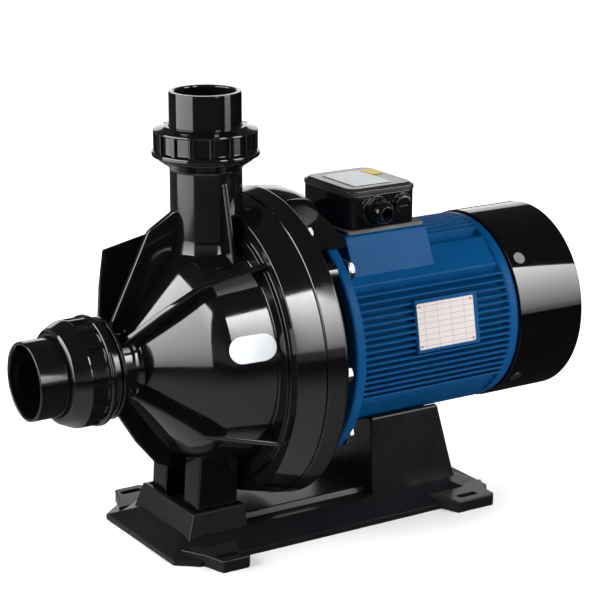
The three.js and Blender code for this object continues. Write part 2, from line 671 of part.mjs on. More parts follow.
function shaft() {
  const body = solid(revolveShaft([
    [16, 0], [16, 5.9], [27.7, 5.9], [27.7, SHAFT_RADIUS], [76, SHAFT_RADIUS], [76, 12.5], [100, 12.5],
    [100, 15], [122, 15], [122, 18], [325, 18], [325, 12.5], [354, 12.5], [354, 9], [394, 9], [394, 0],
  ], 20));
  const keyway = block(29.7, 43.3, -2.3, 2.3, AXIS_HEIGHT + 7.5, AXIS_HEIGHT + 12);
  return piece('motor_shaft', body.subtract(keyway), BARE_STEEL);
}

function bearings() {
  return [
    piece('front_bearing', ringShaft(31, 15 + GAP, 101.3, 117, 24), BARE_STEEL),
    piece('rear_bearing', ringShaft(25.6, 12.5 + GAP, 336.6, 351.6, 24), BARE_STEEL),
  ];
}

function rearEndShield() {
  const body = solid(revolveShaft([
    [329, 80], [329, 87], [FRAME_REAR_X + GAP, 87], [FRAME_REAR_X + GAP, 102], [344, 102], [344, 36],
    [354, 36], [354, 14], [352, 14], [352, 26.3], [FRAME_REAR_X + GAP, 26.3], [FRAME_REAR_X + GAP, 80],
  ]));
  const lugs = COVER_SCREW_ANGLES.map((angle) => {
    const lug = new THREE.BoxGeometry(20, 16, 14).translate(351, 0, 96);
    return solid(lug.rotateX(radians(90 - angle)).translate(0, 0, AXIS_HEIGHT));
  });
  const holes = COVER_SCREW_ANGLES.map((angle) => coverScrewRod(2.9, 90, 110, angle));
  return piece('rear_end_shield', cut(joined(body, ...lugs), ...holes), BLUE_PAINT);
}

function coverScrewRod(radius, from, to, angle, segments = HOLE_FACETS) {
  const rod = new THREE.CylinderGeometry(radius, radius, to - from, segments).rotateX(Math.PI / 2);
  rod.translate(COVER_SCREW_X, 0, (from + to) / 2);
  return solid(rod.rotateX(radians(90 - angle)).translate(0, 0, AXIS_HEIGHT));
}

function coolingFan() {
  const hub = ringShaft(18, 9 + GAP, 364, 393, 20);
  let fan = hub.add(ringShaft(60, 12, 364, 367, 24));
  for (let i = 0; i < 7; i += 1) {
    const blade = new THREE.BoxGeometry(27, 3, 76).translate(378.5, 0, 52);
    fan = fan.add(solid(blade.rotateX((2 * Math.PI * i) / 7).translate(0, 0, AXIS_HEIGHT)));
  }
  return piece('cooling_fan', fan, GREY_PLASTIC);
}

/** One curved slot of the fan cover's rear grille. */
function grilleSlot(radius, width, start, sweep) {
  const shape = new THREE.Shape();
  const turns = [radians(start), radians(start + sweep)];
  shape.absarc(0, AXIS_HEIGHT, radius + width / 2, turns[0], turns[1], false);
  shape.absarc(0, AXIS_HEIGHT, radius - width / 2, turns[1], turns[0], true);
  return alongX(shape, COVER_REAR_X - 6, COVER_REAR_X + 2, 3);
}

function fanCover() {
  const inside = COVER_RADIUS - COVER_WALL;
  const body = solid(revolveShaft([
    [COVER_FRONT_X, inside], [COVER_FRONT_X, COVER_RADIUS], [COVER_REAR_X - 7, COVER_RADIUS],
    [COVER_REAR_X - 2, COVER_RADIUS - 2], [COVER_REAR_X, COVER_RADIUS - 7], [COVER_REAR_X, 0],
    [COVER_REAR_X - COVER_WALL, 0], [COVER_REAR_X - COVER_WALL, inside - 6],
    [COVER_REAR_X - 4, inside - 2], [COVER_REAR_X - 8, inside],
  ], LARGE_FACETS));
  const slots = [];
  for (const radius of [36, 56, 76]) {
    for (let i = 0; i < 5; i += 1) slots.push(grilleSlot(radius, 9, 72 * i + 6, 60));
  }
  const holes = COVER_SCREW_ANGLES.map((angle) => coverScrewRod(2.9, 98, 115, angle));
  return piece('fan_cover', cut(body, ...slots, ...holes), COVER_PAINT);
}

function coverScrews() {
  return COVER_SCREW_ANGLES.map((angle, i) => {
    const seat = COVER_RADIUS + 0.4;
    const head = coverScrewRod(6.2, seat, seat + 3.4, angle, 12);
    return piece(`cover_screw_${i + 1}`, head.add(coverScrewRod(2.5, 91.5, seat + 1, angle)), ZINC_STEEL);
  });
}

// ---- terminal box ----
function boxOutline(inset, radius) {
  const half = BOX_HALF_WIDTH - inset;
  return roundedRectangle(BOX_FRONT_X + inset, BOX_REAR_X - inset, -half, half, radius);
}

function boxGasket() {
  const sheet = alongZ(roundedRectangle(145, 244, -50, 50, 4), PAD_TOP_Z + GAP, BOX_FLOOR_Z - GAP);
  return piece('terminal_box_gasket', cut(sheet, rodZ(14, 191, 0, 300, 330)), GREY_GASKET);
}

function terminalBox() {
  const outside = alongZ(boxOutline(0, 10), BOX_FLOOR_Z, BOX_TOP_Z);
  const inside = alongZ(boxOutline(3.5, 7), BOX_FLOOR_Z + 3.5, BOX_TOP_Z + 1);
  const bosses = joined(
    rodY(16.5, GLAND_X, GLAND_Z, -BOX_HALF_WIDTH - 2, -BOX_HALF_WIDTH + 6),
    rodY(13, PLUG_X, PLUG_Z, -BOX_HALF_WIDTH - 1, -BOX_HALF_WIDTH + 6),
  );
  const wireWay = rodZ(14, 191, 0, 300, 330);
  const glandHole = rodY(10.3, GLAND_X, GLAND_Z, -BOX_HALF_WIDTH - 5, -30);
  const plugHole = rodY(8.3, PLUG_X, PLUG_Z, -BOX_HALF_WIDTH - 5, -30);
  const body = cut(outside.add(bosses), inside, wireWay, glandHole, plugHole);
  return piece('terminal_box', body, BLACK_PLASTIC);
}

function terminalLid() {
  const plate = alongZ(boxOutline(-1, 11), BOX_TOP_Z + GAP, LID_TOP_Z - 2.5);
  const crown = alongZ(boxOutline(1.5, 9), LID_TOP_Z - 3, LID_TOP_Z);
  const lip = cut(alongZ(boxOutline(4, 6.5), BOX_TOP_Z - 4, BOX_TOP_Z + 2),
    alongZ(boxOutline(7, 5), BOX_TOP_Z - 5, BOX_TOP_Z + 1));
  return piece('terminal_box_lid', joined(plate, crown, lip), BLACK_PLASTIC);
}

function lidLabels() {
  const low = LID_TOP_Z + GAP;
  return [
    piece('lid_label', block(163, 211, -34, 30, low, low + 0.5), LABEL_WHITE),
    piece('warning_label', block(213, 228, 6, 30, low, low + 0.5), LABEL_YELLOW),
  ];
}

function terminalBlock() {
  const floor = BOX_FLOOR_Z + 3.5 + GAP;
  const board = block(207, 228, -30, 30, floor, floor + 10);
  const studs = [-20, 0, 20].flatMap((y) => {
    return [212, 223].map((x) => rodZ(2.5, x, y, floor + 8, floor + 20, HEX));
  });
  return piece('terminal_block', joined(board, ...studs), GREY_PLASTIC);
}

function cableGland() {
  const face = -BOX_HALF_WIDTH - 2;
  const body = joined(
    rodY(15, GLAND_X, GLAND_Z, face - 7, face - GAP, HEX),
    rodY(10, GLAND_X, GLAND_Z, face - 17, face + 12),
  );
  const cap = joined(
    rodY(13, GLAND_X, GLAND_Z, face - 18, face - 7.5, HEX * 2),
    rodY(10.5, GLAND_X, GLAND_Z, face - 22, face - 17),
  );
  const wireHole = rodY(6, GLAND_X, GLAND_Z, -100, -20);
  return [
    piece('gland_body', cut(body, wireHole), BLACK_PLASTIC),
    piece('gland_cap', cut(cap, wireHole, rodY(10.4, GLAND_X, GLAND_Z, face - 18, 0)), BLACK_PLASTIC),
  ];
}

function blankingPlug() {
  const face = -BOX_HALF_WIDTH - 1;
  const body = joined(
    rodY(11, PLUG_X, PLUG_Z, face - 4, face - GAP),
    rodY(8, PLUG_X, PLUG_Z, face - 2, face + 11),
  );
  const slot = block(PLUG_X - 7, PLUG_X + 7, face - 5, face - 2.5, PLUG_Z - 1.2, PLUG_Z + 1.2);
  return piece('blanking_plug', cut(body, slot), BLACK_PLASTIC);
}

// ---- base ----
function baseOutline(inset) {
  const [front, rear, half] = [BASE_FRONT_X + inset, BASE_REAR_X - inset, BASE_HALF_WIDTH - inset];
  return [
    [front, -half + 18], [front + 22, -half], [rear - 22, -half], [rear, -half + 22],
    [rear, half - 22], [rear - 22, half], [front + 22, half], [front, half - 18],
  ];
}

function lug(x0, x1, reach, side) {
  const [inner, outer] = [side * 70, side * reach];
  const mid = (x0 + x1) / 2;
  const plate = alongZ(outline([
    [x0 - 14, inner], [x1 + 14, inner], [x1, side * BASE_HALF_WIDTH], [x1, outer - side * 4],
    [x1 - 4, outer], [x0 + 8, outer], [x0, side * BASE_HALF_WIDTH],
  ]), 0, 13);
  const slotY = side * (reach - 14);
  const slot = alongZ(roundedRectangle(mid - 13, mid + 13, slotY - 4.5, slotY + 4.5, 4.4), -1, 20);
  return { plate, slot };
}

function basePlate() {
  const skirt = loft(baseOutline(0), 0, baseOutline(0), SKIRT_Z);
  const slope = loft(baseOutline(0), SKIRT_Z, baseOutline(BASE_HALF_WIDTH - DECK_HALF_WIDTH), DECK_Z);
  const spine = loft(
    [[10, -50], [300, -50], [300, 50], [10, 50]], DECK_Z - 8,
    [[18, -44], [292, -44], [292, 44], [18, 44]], SPINE_Z,
  );
  const pedestal = loft(
    [[-62, -62], [12, -62], [12, 62], [-62, 62]], DECK_Z - 8,
    [[-52, -57], [10, -57], [10, 57], [-52, 57]], PEDESTAL_Z,
  );
  const lugs = [-1, 1].flatMap((side) => [lug(-62, -20, 122, side), lug(243, 302, 116, side)]);
  const outside = joined(skirt, slope, spine, pedestal, ...lugs.map(({ plate }) => plate));
  const recess = block(-47, 8, -53, 53, PEDESTAL_FLOOR_Z, PEDESTAL_Z + 2);
  const pockets = [[-66, 20], [26, 120], [126, 220], [226, 298]].flatMap(([x0, x1]) => {
    return [[-66, -4], [4, 66]].map(([y0, y1]) => block(x0, x1, y0, y1, -1, UNDERSIDE_Z));
  });
  const holes = [
    ...[-35, 35].map((y) => rodZ(4.3, -13, y, 0, 50, HOLE_FACETS)),
    ...[-30, 30].map((y) => rodZ(4.3, 244, y, 0, 50, HOLE_FACETS)),
  ];
  const body = cut(outside, recess, ...pockets, ...holes, ...lugs.map(({ slot }) => slot));
  return piece('base_plate', body, BASE_PLASTIC);
}

function motorSaddle() {
  const rectangle = (rear, half) => {
    return [[SADDLE_FRONT_X, -half], [rear, -half], [rear, half], [SADDLE_FRONT_X, half]];
  };
  const foot = rectangle(SADDLE_REAR_X, 63);
  const body = loft(foot, DECK_Z + GAP, rectangle(SADDLE_TOP_REAR_X, 58), SADDLE_TOP_Z);
  const spine = block(160, 300, -50.5, 50.5, 0, SPINE_Z + GAP);
  const cradle = rodShaft(FRAME_FIN_RADIUS + 1.2, 160, 300, LARGE_FACETS);
  const holes = [-30, 30].map((y) => rodZ(4.3, 244, y, 20, 60, HOLE_FACETS));
  return piece('motor_saddle', cut(body, spine, cradle, ...holes), BASE_PLASTIC);
}

function baseScrew(name, x, y) {
  const head = rodZ(7.5, x, y, UNDERSIDE_Z - 6, UNDERSIDE_Z - GAP, 6);
  return piece(name, head.add(rodZ(3.9, x, y, UNDERSIDE_Z - 1, 56, HOLE_FACETS)), ZINC_STEEL);
}

// ---- assembly ----
const pump = new THREE.Group();
pump.name = 'pool_pump';
pump.position.x = -ORIGIN_X;
pump.add(
  basePlate(), motorSaddle(),
  baseScrew('foot_screw_1', -13, -35), baseScrew('foot_screw_2', -13, 35),
  baseScrew('saddle_screw_1', 244, -30), baseScrew('saddle_screw_2', 244, 30),
  frontCasing(), suctionNeck(), dischargeNeck(), rearCasing(), casingOring(), ...casingScrews(), badge(),
  diffuser(), impeller(), impellerNut(), impellerKey(), ...mechanicalSeal(), drainPlug(),
  unionTail('suction'), unionNut('suction'), unionOring('suction'),
  unionTail('discharge'), unionNut('discharge'), unionOring('discharge'),
  motorFlange(), ...flangeBolts(), motorFrame(), nameplate(), statorCore(), statorWindings(),
  rotorCore(), shaft(), ...bearings(), rearEndShield(), coolingFan(), fanCover(), ...coverScrews(),
  boxGasket(), terminalBox(), terminalLid(), ...lidLabels(), terminalBlock(), ...cableGland(),
  blankingPlug(),
);

export default pump;
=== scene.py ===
"""The looks of a close-coupled pool pump: ribbed plastic casing, finned blue motor, moulded base.

Shapes are made in the pump's own frame, in millimetres, with x measured from the axis of the
discharge pipe and z from the floor. Each one is set into the shared frame when it is finished.
"""

import logging
import math
from dataclasses import dataclass, field
from enum import Enum
from typing import Callable, Sequence

import bmesh
import bpy
from mathutils import Matrix, Vector


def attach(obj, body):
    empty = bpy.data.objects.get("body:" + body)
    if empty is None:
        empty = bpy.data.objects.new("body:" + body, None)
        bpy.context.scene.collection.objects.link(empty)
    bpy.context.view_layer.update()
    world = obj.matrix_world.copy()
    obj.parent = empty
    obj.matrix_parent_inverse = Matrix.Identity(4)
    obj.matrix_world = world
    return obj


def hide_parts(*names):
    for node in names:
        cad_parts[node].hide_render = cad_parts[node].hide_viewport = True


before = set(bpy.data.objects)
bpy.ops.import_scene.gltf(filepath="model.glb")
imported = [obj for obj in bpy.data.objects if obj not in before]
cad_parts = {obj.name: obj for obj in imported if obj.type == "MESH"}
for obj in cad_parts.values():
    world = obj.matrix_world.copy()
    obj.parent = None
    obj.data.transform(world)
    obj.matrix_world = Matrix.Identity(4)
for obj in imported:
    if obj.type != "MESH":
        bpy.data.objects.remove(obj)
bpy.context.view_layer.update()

LOG = logging.getLogger("pool_pump")
MILLIMETRE = 0.001
ORIGIN_X = 105.0
AXIS_HEIGHT = 202.0
# Turns an outline in (y, z), raised along Z, so that its stations lie along X.
STATIONS_TO_X = Matrix(((0, 0, 1, 0), (1, 0, 0, 0), (0, 1, 0, 0), (0, 0, 0, 1)))
Point = tuple[float, ...]


class Body(Enum):
    """The bodies that pieces ride on."""

    PUMP = "pump_body"
    ROTOR = "rotor_assembly"
    SUCTION_NUT = "suction_nut"
    DISCHARGE_NUT = "discharge_nut"
    GLAND_NUT = "gland_nut"
    DRAIN = "drain_screw"


class Joining(Enum):
    """How one solid is combined with another."""

    CUT = "DIFFERENCE"
    KEEP = "INTERSECT"


class Surface(Enum):
    """The fine pattern that a finish carries."""

    PLAIN = "plain"
    BRUSHED = "brushed"
    STACKED = "stacked"
    WOUND = "wound"
    RULED = "ruled"


# ---- finishes ----
class Wiring:
    """Adds and joins the nodes of one material."""

    def __init__(self, tree: bpy.types.NodeTree) -> None:
        """Starts with an empty tree."""
        self.tree = tree
        tree.nodes.clear()

    def add(self, kind: str, **settings: object) -> bpy.types.Node:
        """Adds a node and sets its properties.

        Args:
            kind: The node's type without the ShaderNode prefix.
            settings: Properties of the node by name.

        Returns:
            The new node.
        """
        node = self.tree.nodes.new("ShaderNode" + kind)
        for name, value in settings.items():
            setattr(node, name, value)
        return node

    def join(self, source: bpy.types.NodeSocket, target: bpy.types.NodeSocket) -> None:
        """Links an output to an input."""
        self.tree.links.new(source, target)

    def noise(self, place: bpy.types.NodeSocket, scale: float, detail: float = 3.0) -> bpy.types.NodeSocket:
        """Noise over a set of coordinates, as one value.

        Args:
            place: Coordinates to read.
            scale: Cells per metre.
            detail: Finer layers added.

        Returns:
            The noise value.
        """
        node = self.add("TexNoise")
        node.inputs["Scale"].default_value = scale
        node.inputs["Detail"].default_value = detail
        self.join(place, node.inputs["Vector"])
        return node.outputs["Fac"]

    def spread(self, value: bpy.types.NodeSocket, low: float, high: float) -> bpy.types.NodeSocket:
        """Stretches the middle of a noise to run from low to high.

        Args:
            value: The noise.
            low: Value given at its low end.
            high: Value given at its high end.

        Returns:
            The stretched value.
        """
        node = self.add("MapRange")
        node.inputs["From Min"].default_value = 0.3
        node.inputs["From Max"].default_value = 0.7
        node.inputs["To Min"].default_value = low
        node.inputs["To Max"].default_value = high
        self.join(value, node.inputs["Value"])
        return node.outputs["Result"]

    def blend(self, factor: bpy.types.NodeSocket, first: Point, second: Point) -> bpy.types.NodeSocket:
        """Mixes two colours by a factor.

        Args:
            factor: 0 for the first colour, 1 for the second.
            first: A linear colour.
            second: Another linear colour.

        Returns:
            The mixed colour.
        """
        node = self.add("Mix", data_type="RGBA")
        self.join(factor, node.inputs["Factor"])
        node.inputs["A"].default_value = (*first, 1.0)
        node.inputs["B"].default_value = (*second, 1.0)
        return node.outputs["Result"]


@dataclass(frozen=True)
class Finish:
    """A procedural finish.

    Attributes:
        name: The material's name.
        slot: The record's material slot.
        colour: The main colour, linear.
        shade: The colour that it drifts towards.
        rough: Lowest and highest roughness.
        grain: Size of the surface grain, per metre, and its height in millimetres.
        surface: The fine pattern.
        metallic: 1 for bare metal.
        specular: Specular level.
    """

    name: str
    slot: str
    colour: Point
    shade: Point
    rough: tuple[float, float]
    grain: tuple[float, float] = (400.0, 0.01)
    surface: Surface = Surface.PLAIN
    metallic: float = 0.0
    specular: float = 0.5

    def material(self) -> bpy.types.Material:
        """Builds the material, or returns it if it is there already.

        Returns:
            The material.
        """
        found = bpy.data.materials.get(self.name)
        if found:
            return found
        made = bpy.data.materials.new(self.name)
        made.use_nodes = True
        wiring = Wiring(made.node_tree)
        shader = wiring.add("BsdfPrincipled")
        output = wiring.add("OutputMaterial")
        wiring.join(shader.outputs["BSDF"], output.inputs["Surface"])
        shader.inputs["Metallic"].default_value = self.metallic
        shader.inputs["Specular IOR Level"].default_value = self.specular
        place = self.stretched(wiring)
        drift = wiring.spread(wiring.noise(place, self.grain[0] * 0.03), 0.0, 1.0)
        colour = wiring.blend(drift, self.colour, self.shade)
        if self.surface is Surface.RULED:
            colour = self.ruled(wiring, colour)
        wiring.join(colour, shader.inputs["Base Color"])
        patches = wiring.noise(place, self.grain[0] * 0.08, 5.0)
        wiring.join(wiring.spread(patches, *self.rough), shader.inputs["Roughness"])
        bump = wiring.add("Bump")
        bump.inputs["Strength"].default_value = 1.0
        bump.inputs["Distance"].default_value = self.grain[1] * MILLIMETRE
        wiring.join(self.relief(wiring, place), bump.inputs["Height"])
        wiring.join(bump.outputs["Normal"], shader.inputs["Normal"])
        return made

    def stretched(self, wiring: Wiring) -> bpy.types.NodeSocket:
        """Object coordinates, drawn out along X on a brushed surface.

        Args:
            wiring: The material's node helper.

        Returns:
            The coordinates.
        """
        place = wiring.add("TexCoord").outputs["Object"]
        if self.surface is not Surface.BRUSHED:
            return place
        mapping = wiring.add("Mapping")
        mapping.inputs["Scale"].default_value = (6.0, 1.0, 1.0)
        wiring.join(place, mapping.inputs["Vector"])
        return mapping.outputs["Vector"]

    def relief(self, wiring: Wiring, place: bpy.types.NodeSocket) -> bpy.types.NodeSocket:
        """The height pattern: grain, sheet edges or wire turns.

        Args:
            wiring: The material's node helper.
            place: Coordinates to read.

        Returns:
            The height.
        """
        if self.surface in (Surface.STACKED, Surface.WOUND):
            wave = wiring.add("TexWave", wave_type="BANDS", bands_direction="X")
            wave.inputs["Scale"].default_value = self.grain[0] * 0.4
            wave.inputs["Distortion"].default_value = 2.0 if self.surface is Surface.WOUND else 0.0
            wiring.join(place, wave.inputs["Vector"])
            return wave.outputs["Fac"]
        return wiring.noise(place, self.grain[0], 4.0)

    def ruled(self, wiring: Wiring, colour: bpy.types.NodeSocket) -> bpy.types.NodeSocket:
        """Draws the empty ruled boxes of a data plate over a colour.

        Args:
            wiring: The material's node helper.
            colour: The plate's own colour.

        Returns:
            The colour with its lines.
        """
        place = wiring.add("TexCoord").outputs["Object"]
        mapping = wiring.add("Mapping", vector_type="TEXTURE")
        mapping.inputs["Location"].default_value = (0.1735, -0.105, 0.1985)
        mapping.inputs["Rotation"].default_value = (math.radians(80), 0.0, 0.0)
        wiring.join(place, mapping.inputs["Vector"])
        boxes = wiring.add("TexBrick", offset=0.0, offset_frequency=2, squash=1.0, squash_frequency=2)
        boxes.inputs["Scale"].default_value = 1.0
        boxes.inputs["Brick Width"].default_value = 0.0175
        boxes.inputs["Row Height"].default_value = 0.0062
        boxes.inputs["Mortar Size"].default_value = 0.00026
        boxes.inputs["Mortar Smooth"].default_value = 0.0
        wiring.join(mapping.outputs["Vector"], boxes.inputs["Vector"])
        lines = wiring.add("Mix", data_type="RGBA")
        wiring.join(boxes.outputs["Fac"], lines.inputs["Factor"])
        wiring.join(colour, lines.inputs["A"])
        lines.inputs["B"].default_value = (0.22, 0.19, 0.2, 1.0)
        return lines.outputs["Result"]


GLOSS_CASING = Finish(
    "gloss_casing", "casing_plastic",
    (0.002, 0.002, 0.0024), (0.003, 0.003, 0.0034), (0.07, 0.11), (900.0, 0.006),
)
GLOSS_UNION = Finish(
    "gloss_union", "casing_plastic",
    (0.002, 0.002, 0.0022), (0.003, 0.003, 0.0033), (0.05, 0.08), (900.0, 0.005),
)
BOX_PLASTIC = Finish(
    "gloss_box", "casing_plastic",
    (0.002, 0.002, 0.0022), (0.003, 0.003, 0.0033), (0.06, 0.1), (1200.0, 0.005), specular=0.35,
)
LID_PLASTIC = Finish(
    "satin_lid", "casing_plastic",
    (0.012, 0.012, 0.013), (0.016, 0.016, 0.017), (0.2, 0.24), (900.0, 0.001),
)
BASE_PLASTIC = Finish(
    "satin_base", "base_plastic",
    (0.004, 0.004, 0.0046), (0.006, 0.006, 0.0068), (0.26, 0.32), (500.0, 0.003), specular=0.25,
)
BLUE_PAINT = Finish(
    "blue_paint_finish", "blue_paint",
    (0.0005, 0.036, 0.112), (0.0006, 0.042, 0.127), (0.34, 0.44), (1100.0, 0.012), specular=0.05,
)
COVER_PAINT = Finish(
    "cover_paint_finish", "cover_paint",
    (0.001, 0.001, 0.0012), (0.0015, 0.0015, 0.0017), (0.03, 0.05), (700.0, 0.002), specular=0.4,
)
ZINC_STEEL = Finish(
    "zinc_steel_finish", "zinc_steel",
    (0.2, 0.2, 0.21), (0.15, 0.155, 0.165), (0.3, 0.44), (1500.0, 0.01), Surface.BRUSHED, metallic=1.0,
)
BARE_STEEL = Finish(
    "bare_steel_finish", "bare_steel",
    (0.56, 0.56, 0.57), (0.48, 0.48, 0.5), (0.22, 0.32), (2500.0, 0.006), Surface.BRUSHED, metallic=1.0,
)
RUBBER = Finish(
    "rubber_finish", "rubber",
    (0.018, 0.018, 0.018), (0.025, 0.025, 0.025), (0.7, 0.85), (1500.0, 0.02),
)
COPPER = Finish(
    "copper_finish", "copper",
    (0.42, 0.15, 0.06), (0.5, 0.2, 0.08), (0.3, 0.4), (700.0, 0.4), Surface.WOUND, metallic=0.9,
)
LAMINATION = Finish(
    "lamination_finish", "lamination",
    (0.2, 0.2, 0.21), (0.26, 0.26, 0.27), (0.45, 0.6), (800.0, 0.2), Surface.STACKED, metallic=0.9,
)
SILVER_PLATE = Finish(
    "label_silver_finish", "label_silver",
    (0.38, 0.345, 0.33), (0.42, 0.38, 0.365), (0.4, 0.5), (900.0, 0.01), Surface.RULED, specular=0.08,
)
WHITE_LABEL = Finish(
    "label_white_finish", "label_white",
    (0.5, 0.52, 0.54), (0.56, 0.58, 0.6), (0.3, 0.4), (500.0, 0.01),
)
YELLOW_LABEL = Finish(
    "label_yellow_finish", "label_yellow",
    (0.6, 0.46, 0.02), (0.66, 0.52, 0.04), (0.35, 0.45), (500.0, 0.01),
)
GASKET = Finish(
    "gasket_finish", "gasket",
    (0.07, 0.07, 0.072), (0.1, 0.1, 0.104), (0.6, 0.75), (1800.0, 0.05), specular=0.05,
)
CERAMIC = Finish(
    "ceramic_finish", "ceramic",
    (0.78, 0.76, 0.7), (0.84, 0.82, 0.77), (0.2, 0.3), (900.0, 0.005),
)
CARBON = Finish(
    "carbon_finish", "carbon",
    (0.035, 0.035, 0.04), (0.05, 0.05, 0.055), (0.45, 0.6), (2000.0, 0.01),
)
INNER_PLASTIC = Finish(
    "inner_plastic_finish", "inner_plastic",
    (0.05, 0.055, 0.06), (0.07, 0.075, 0.08), (0.4, 0.55), (1500.0, 0.02),
)


# ---- shapes ----
def corner_pull(size: float, segments: int) -> dict[str, object]:
    """The settings that every bevel here shares.

    Args:
        size: How far each edge is pulled back.
        segments: Strips across the rounding.

    Returns:
        The settings by name.
    """
    return {
        "offset": size,
        "offset_type": "OFFSET",
        "segments": segments,
        "profile": 0.5,
        "material": -1,
        "clamp_overlap": True,
    }


def rise(edge: bmesh.types.BMEdge) -> float:
    """How far an edge climbs along Z."""
    return abs(edge.verts[0].co.z - edge.verts[1].co.z)


class Form:
    """A closed shape in the making, in millimetres."""

    def __init__(self) -> None:
        """Starts empty."""
        self.mesh = bmesh.new()

    # -- starts --
    @classmethod
    def turned(cls, profile: Sequence[Point], steps: int = 128) -> "Form":
        """Spins a section about Z.

        Args:
            profile: (station, radius) points round the section; a third number rounds that corner.
            steps: Facets in a full turn.

        Returns:
            The turned shape.
        """
        form = cls()
        rim = [form.mesh.verts.new((point[1], 0.0, point[0])) for point in profile]
        for start, end in zip(rim, rim[1:] + rim[:1]):
            form.mesh.edges.new((start, end))
        for corner, point in zip(rim, profile):
            if len(point) > 2:
                bmesh.ops.bevel(form.mesh, geom=[corner], affect="VERTICES", **corner_pull(point[2], 5))
        on_axis = [edge for edge in form.mesh.edges if all(abs(end.co.x) < 1e-6 for end in edge.verts)]
        bmesh.ops.delete(form.mesh, geom=on_axis, context="EDGES")
        outline = form.mesh.verts[:] + form.mesh.edges[:]
        bmesh.ops.spin(
            form.mesh,
            geom=outline,
            cent=(0, 0, 0),
            axis=(0, 0, 1),
            angle=math.tau,
            steps=steps,
            use_merge=True,
        )
        return form.closed()

    @classmethod
    def raised(cls, outline: Sequence[Point], low: float, high: float, corner: float = 0.0) -> "Form":
        """Raises a flat outline along Z.

        Args:
            outline: (x, y) points round the outline.
            low: The bottom.
            high: The top.
            corner: How far the upright edges are rounded.

        Returns:
            The raised shape.
        """
        form = cls()
        face = form.mesh.faces.new([form.mesh.verts.new((x, y, low)) for x, y in outline])
        grown = bmesh.ops.extrude_face_region(form.mesh, geom=[face])["geom"]
        top = [item for item in grown if isinstance(item, bmesh.types.BMVert)]
        bmesh.ops.translate(form.mesh, verts=top, vec=(0.0, 0.0, high - low))
        form.closed()
        if corner:
            upright = [edge for edge in form.mesh.edges if rise(edge) > 1e-4]
            bmesh.ops.bevel(form.mesh, geom=upright, affect="EDGES", **corner_pull(corner, 6))
        return form

    @classmethod
    def lofted(cls, low: Sequence[Point], low_z: float, high: Sequence[Point], high_z: float) -> "Form":
        """Raises one outline and draws its top out to another with as many points.

        Args:
            low: (x, y) points of the lower outline.
            low_z: Its height.
            high: The upper outline, point for point.
            high_z: Its height.

        Returns:
            The shape.
        """
        form = cls.raised(low, low_z, high_z)
        moves = [
            (corner, Vector(end))
            for corner in form.mesh.verts
            if abs(corner.co.z - high_z) < 1e-3
            for start, end in zip(low, high)
            if (corner.co.xy - Vector(start)).length < 1e-4
        ]
        for corner, target in moves:
            corner.co.xy = target
        return form.closed()

    @classmethod
    def block(cls, x: Point, y: Point, z: Point, edge: float = 0.0, segments: int = 3) -> "Form":
        """A block between two stations on each axis, with its edges rounded.

        Args:
            x: Both stations along X.
            y: Both stations along Y.
            z: Both stations along Z.
            edge: How far the edges are rounded.
            segments: Strips across the rounding.

        Returns:
            The shape.
        """
        form = cls()
        size = Matrix.Diagonal((x[1] - x[0], y[1] - y[0], z[1] - z[0], 1.0))
        middle = Matrix.Translation(((x[0] + x[1]) / 2, (y[0] + y[1]) / 2, (z[0] + z[1]) / 2))
        bmesh.ops.create_cube(form.mesh, size=1.0, matrix=middle @ size)
        return form.softened(edge, segments) if edge else form

    @classmethod
    def hexagon(cls, radius: float, low: float, high: float) -> "Form":
        """A hexagon head along Z with its crown turned to a chamfer.

        Args:
            radius: From the axis to a corner.
            low: The bottom.
            high: The top.

        Returns:
            The shape.
        """
        form = cls()
        middle = Matrix.Translation((0.0, 0.0, (low + high) / 2))
        bmesh.ops.create_cone(
            form.mesh,
            cap_ends=True,
            segments=6,
            radius1=radius,
            radius2=radius,
            depth=high - low,
            matrix=middle,
        )
        drop = radius * 0.16
        crown = cls.turned(
            [
                (low - 1, 0), (low - 1, radius + 1), (high - drop, radius + 0.2), (high, radius * 0.84),
                (high, 0),
            ],
            48,
        )
        return form.carved(crown, how=Joining.KEEP)

    # -- changes --
    def closed(self) -> "Form":
        """Merges doubles and turns every face outwards.

        Returns:
            This shape.
        """
        bmesh.ops.remove_doubles(self.mesh, verts=self.mesh.verts[:], dist=1e-4)
        bmesh.ops.recalc_face_normals(self.mesh, faces=self.mesh.faces[:])
        return self

    def softened(
        self,
        size: float,
        segments: int = 3,
        angle: float = 30.0,
        where: Callable[[Vector], bool] = lambda middle: True,
    ) -> "Form":
        """Rounds the sharp edges.

        Args:
            size: How far each edge is pulled back.
            segments: Strips across the rounding.
            angle: Edges that turn more than this are rounded, in degrees.
            where: Which edges, by the middle of the edge.

        Returns:
            This shape.
        """
        limit = math.radians(angle)
        sharp = [
            edge
            for edge in self.mesh.edges
            if edge.is_manifold
            and edge.calc_face_angle(0.0) > limit
            and where((edge.verts[0].co + edge.verts[1].co) / 2)
        ]
        bmesh.ops.bevel(self.mesh, geom=sharp, affect="EDGES", **corner_pull(size, segments))
        return self

    def placed(self, matrix: Matrix) -> "Form":
        """Moves the whole shape by a matrix."""
        bmesh.ops.transform(self.mesh, matrix=matrix, verts=self.mesh.verts[:])
        return self

    def moved(self, x: float = 0.0, y: float = 0.0, z: float = 0.0) -> "Form":
        """Slides the shape."""
        return self.placed(Matrix.Translation((x, y, z)))

    def swung(self, degrees: float, axis: str) -> "Form":
        """Turns the shape about one of the axes through the origin."""
        return self.placed(Matrix.Rotation(math.radians(degrees), 4, axis))

    def along_shaft(self) -> "Form":
        """Lays a shape that was turned about Z onto the shaft axis, with its stations along X."""
        return self.swung(90.0, "Y").moved(z=AXIS_HEIGHT)

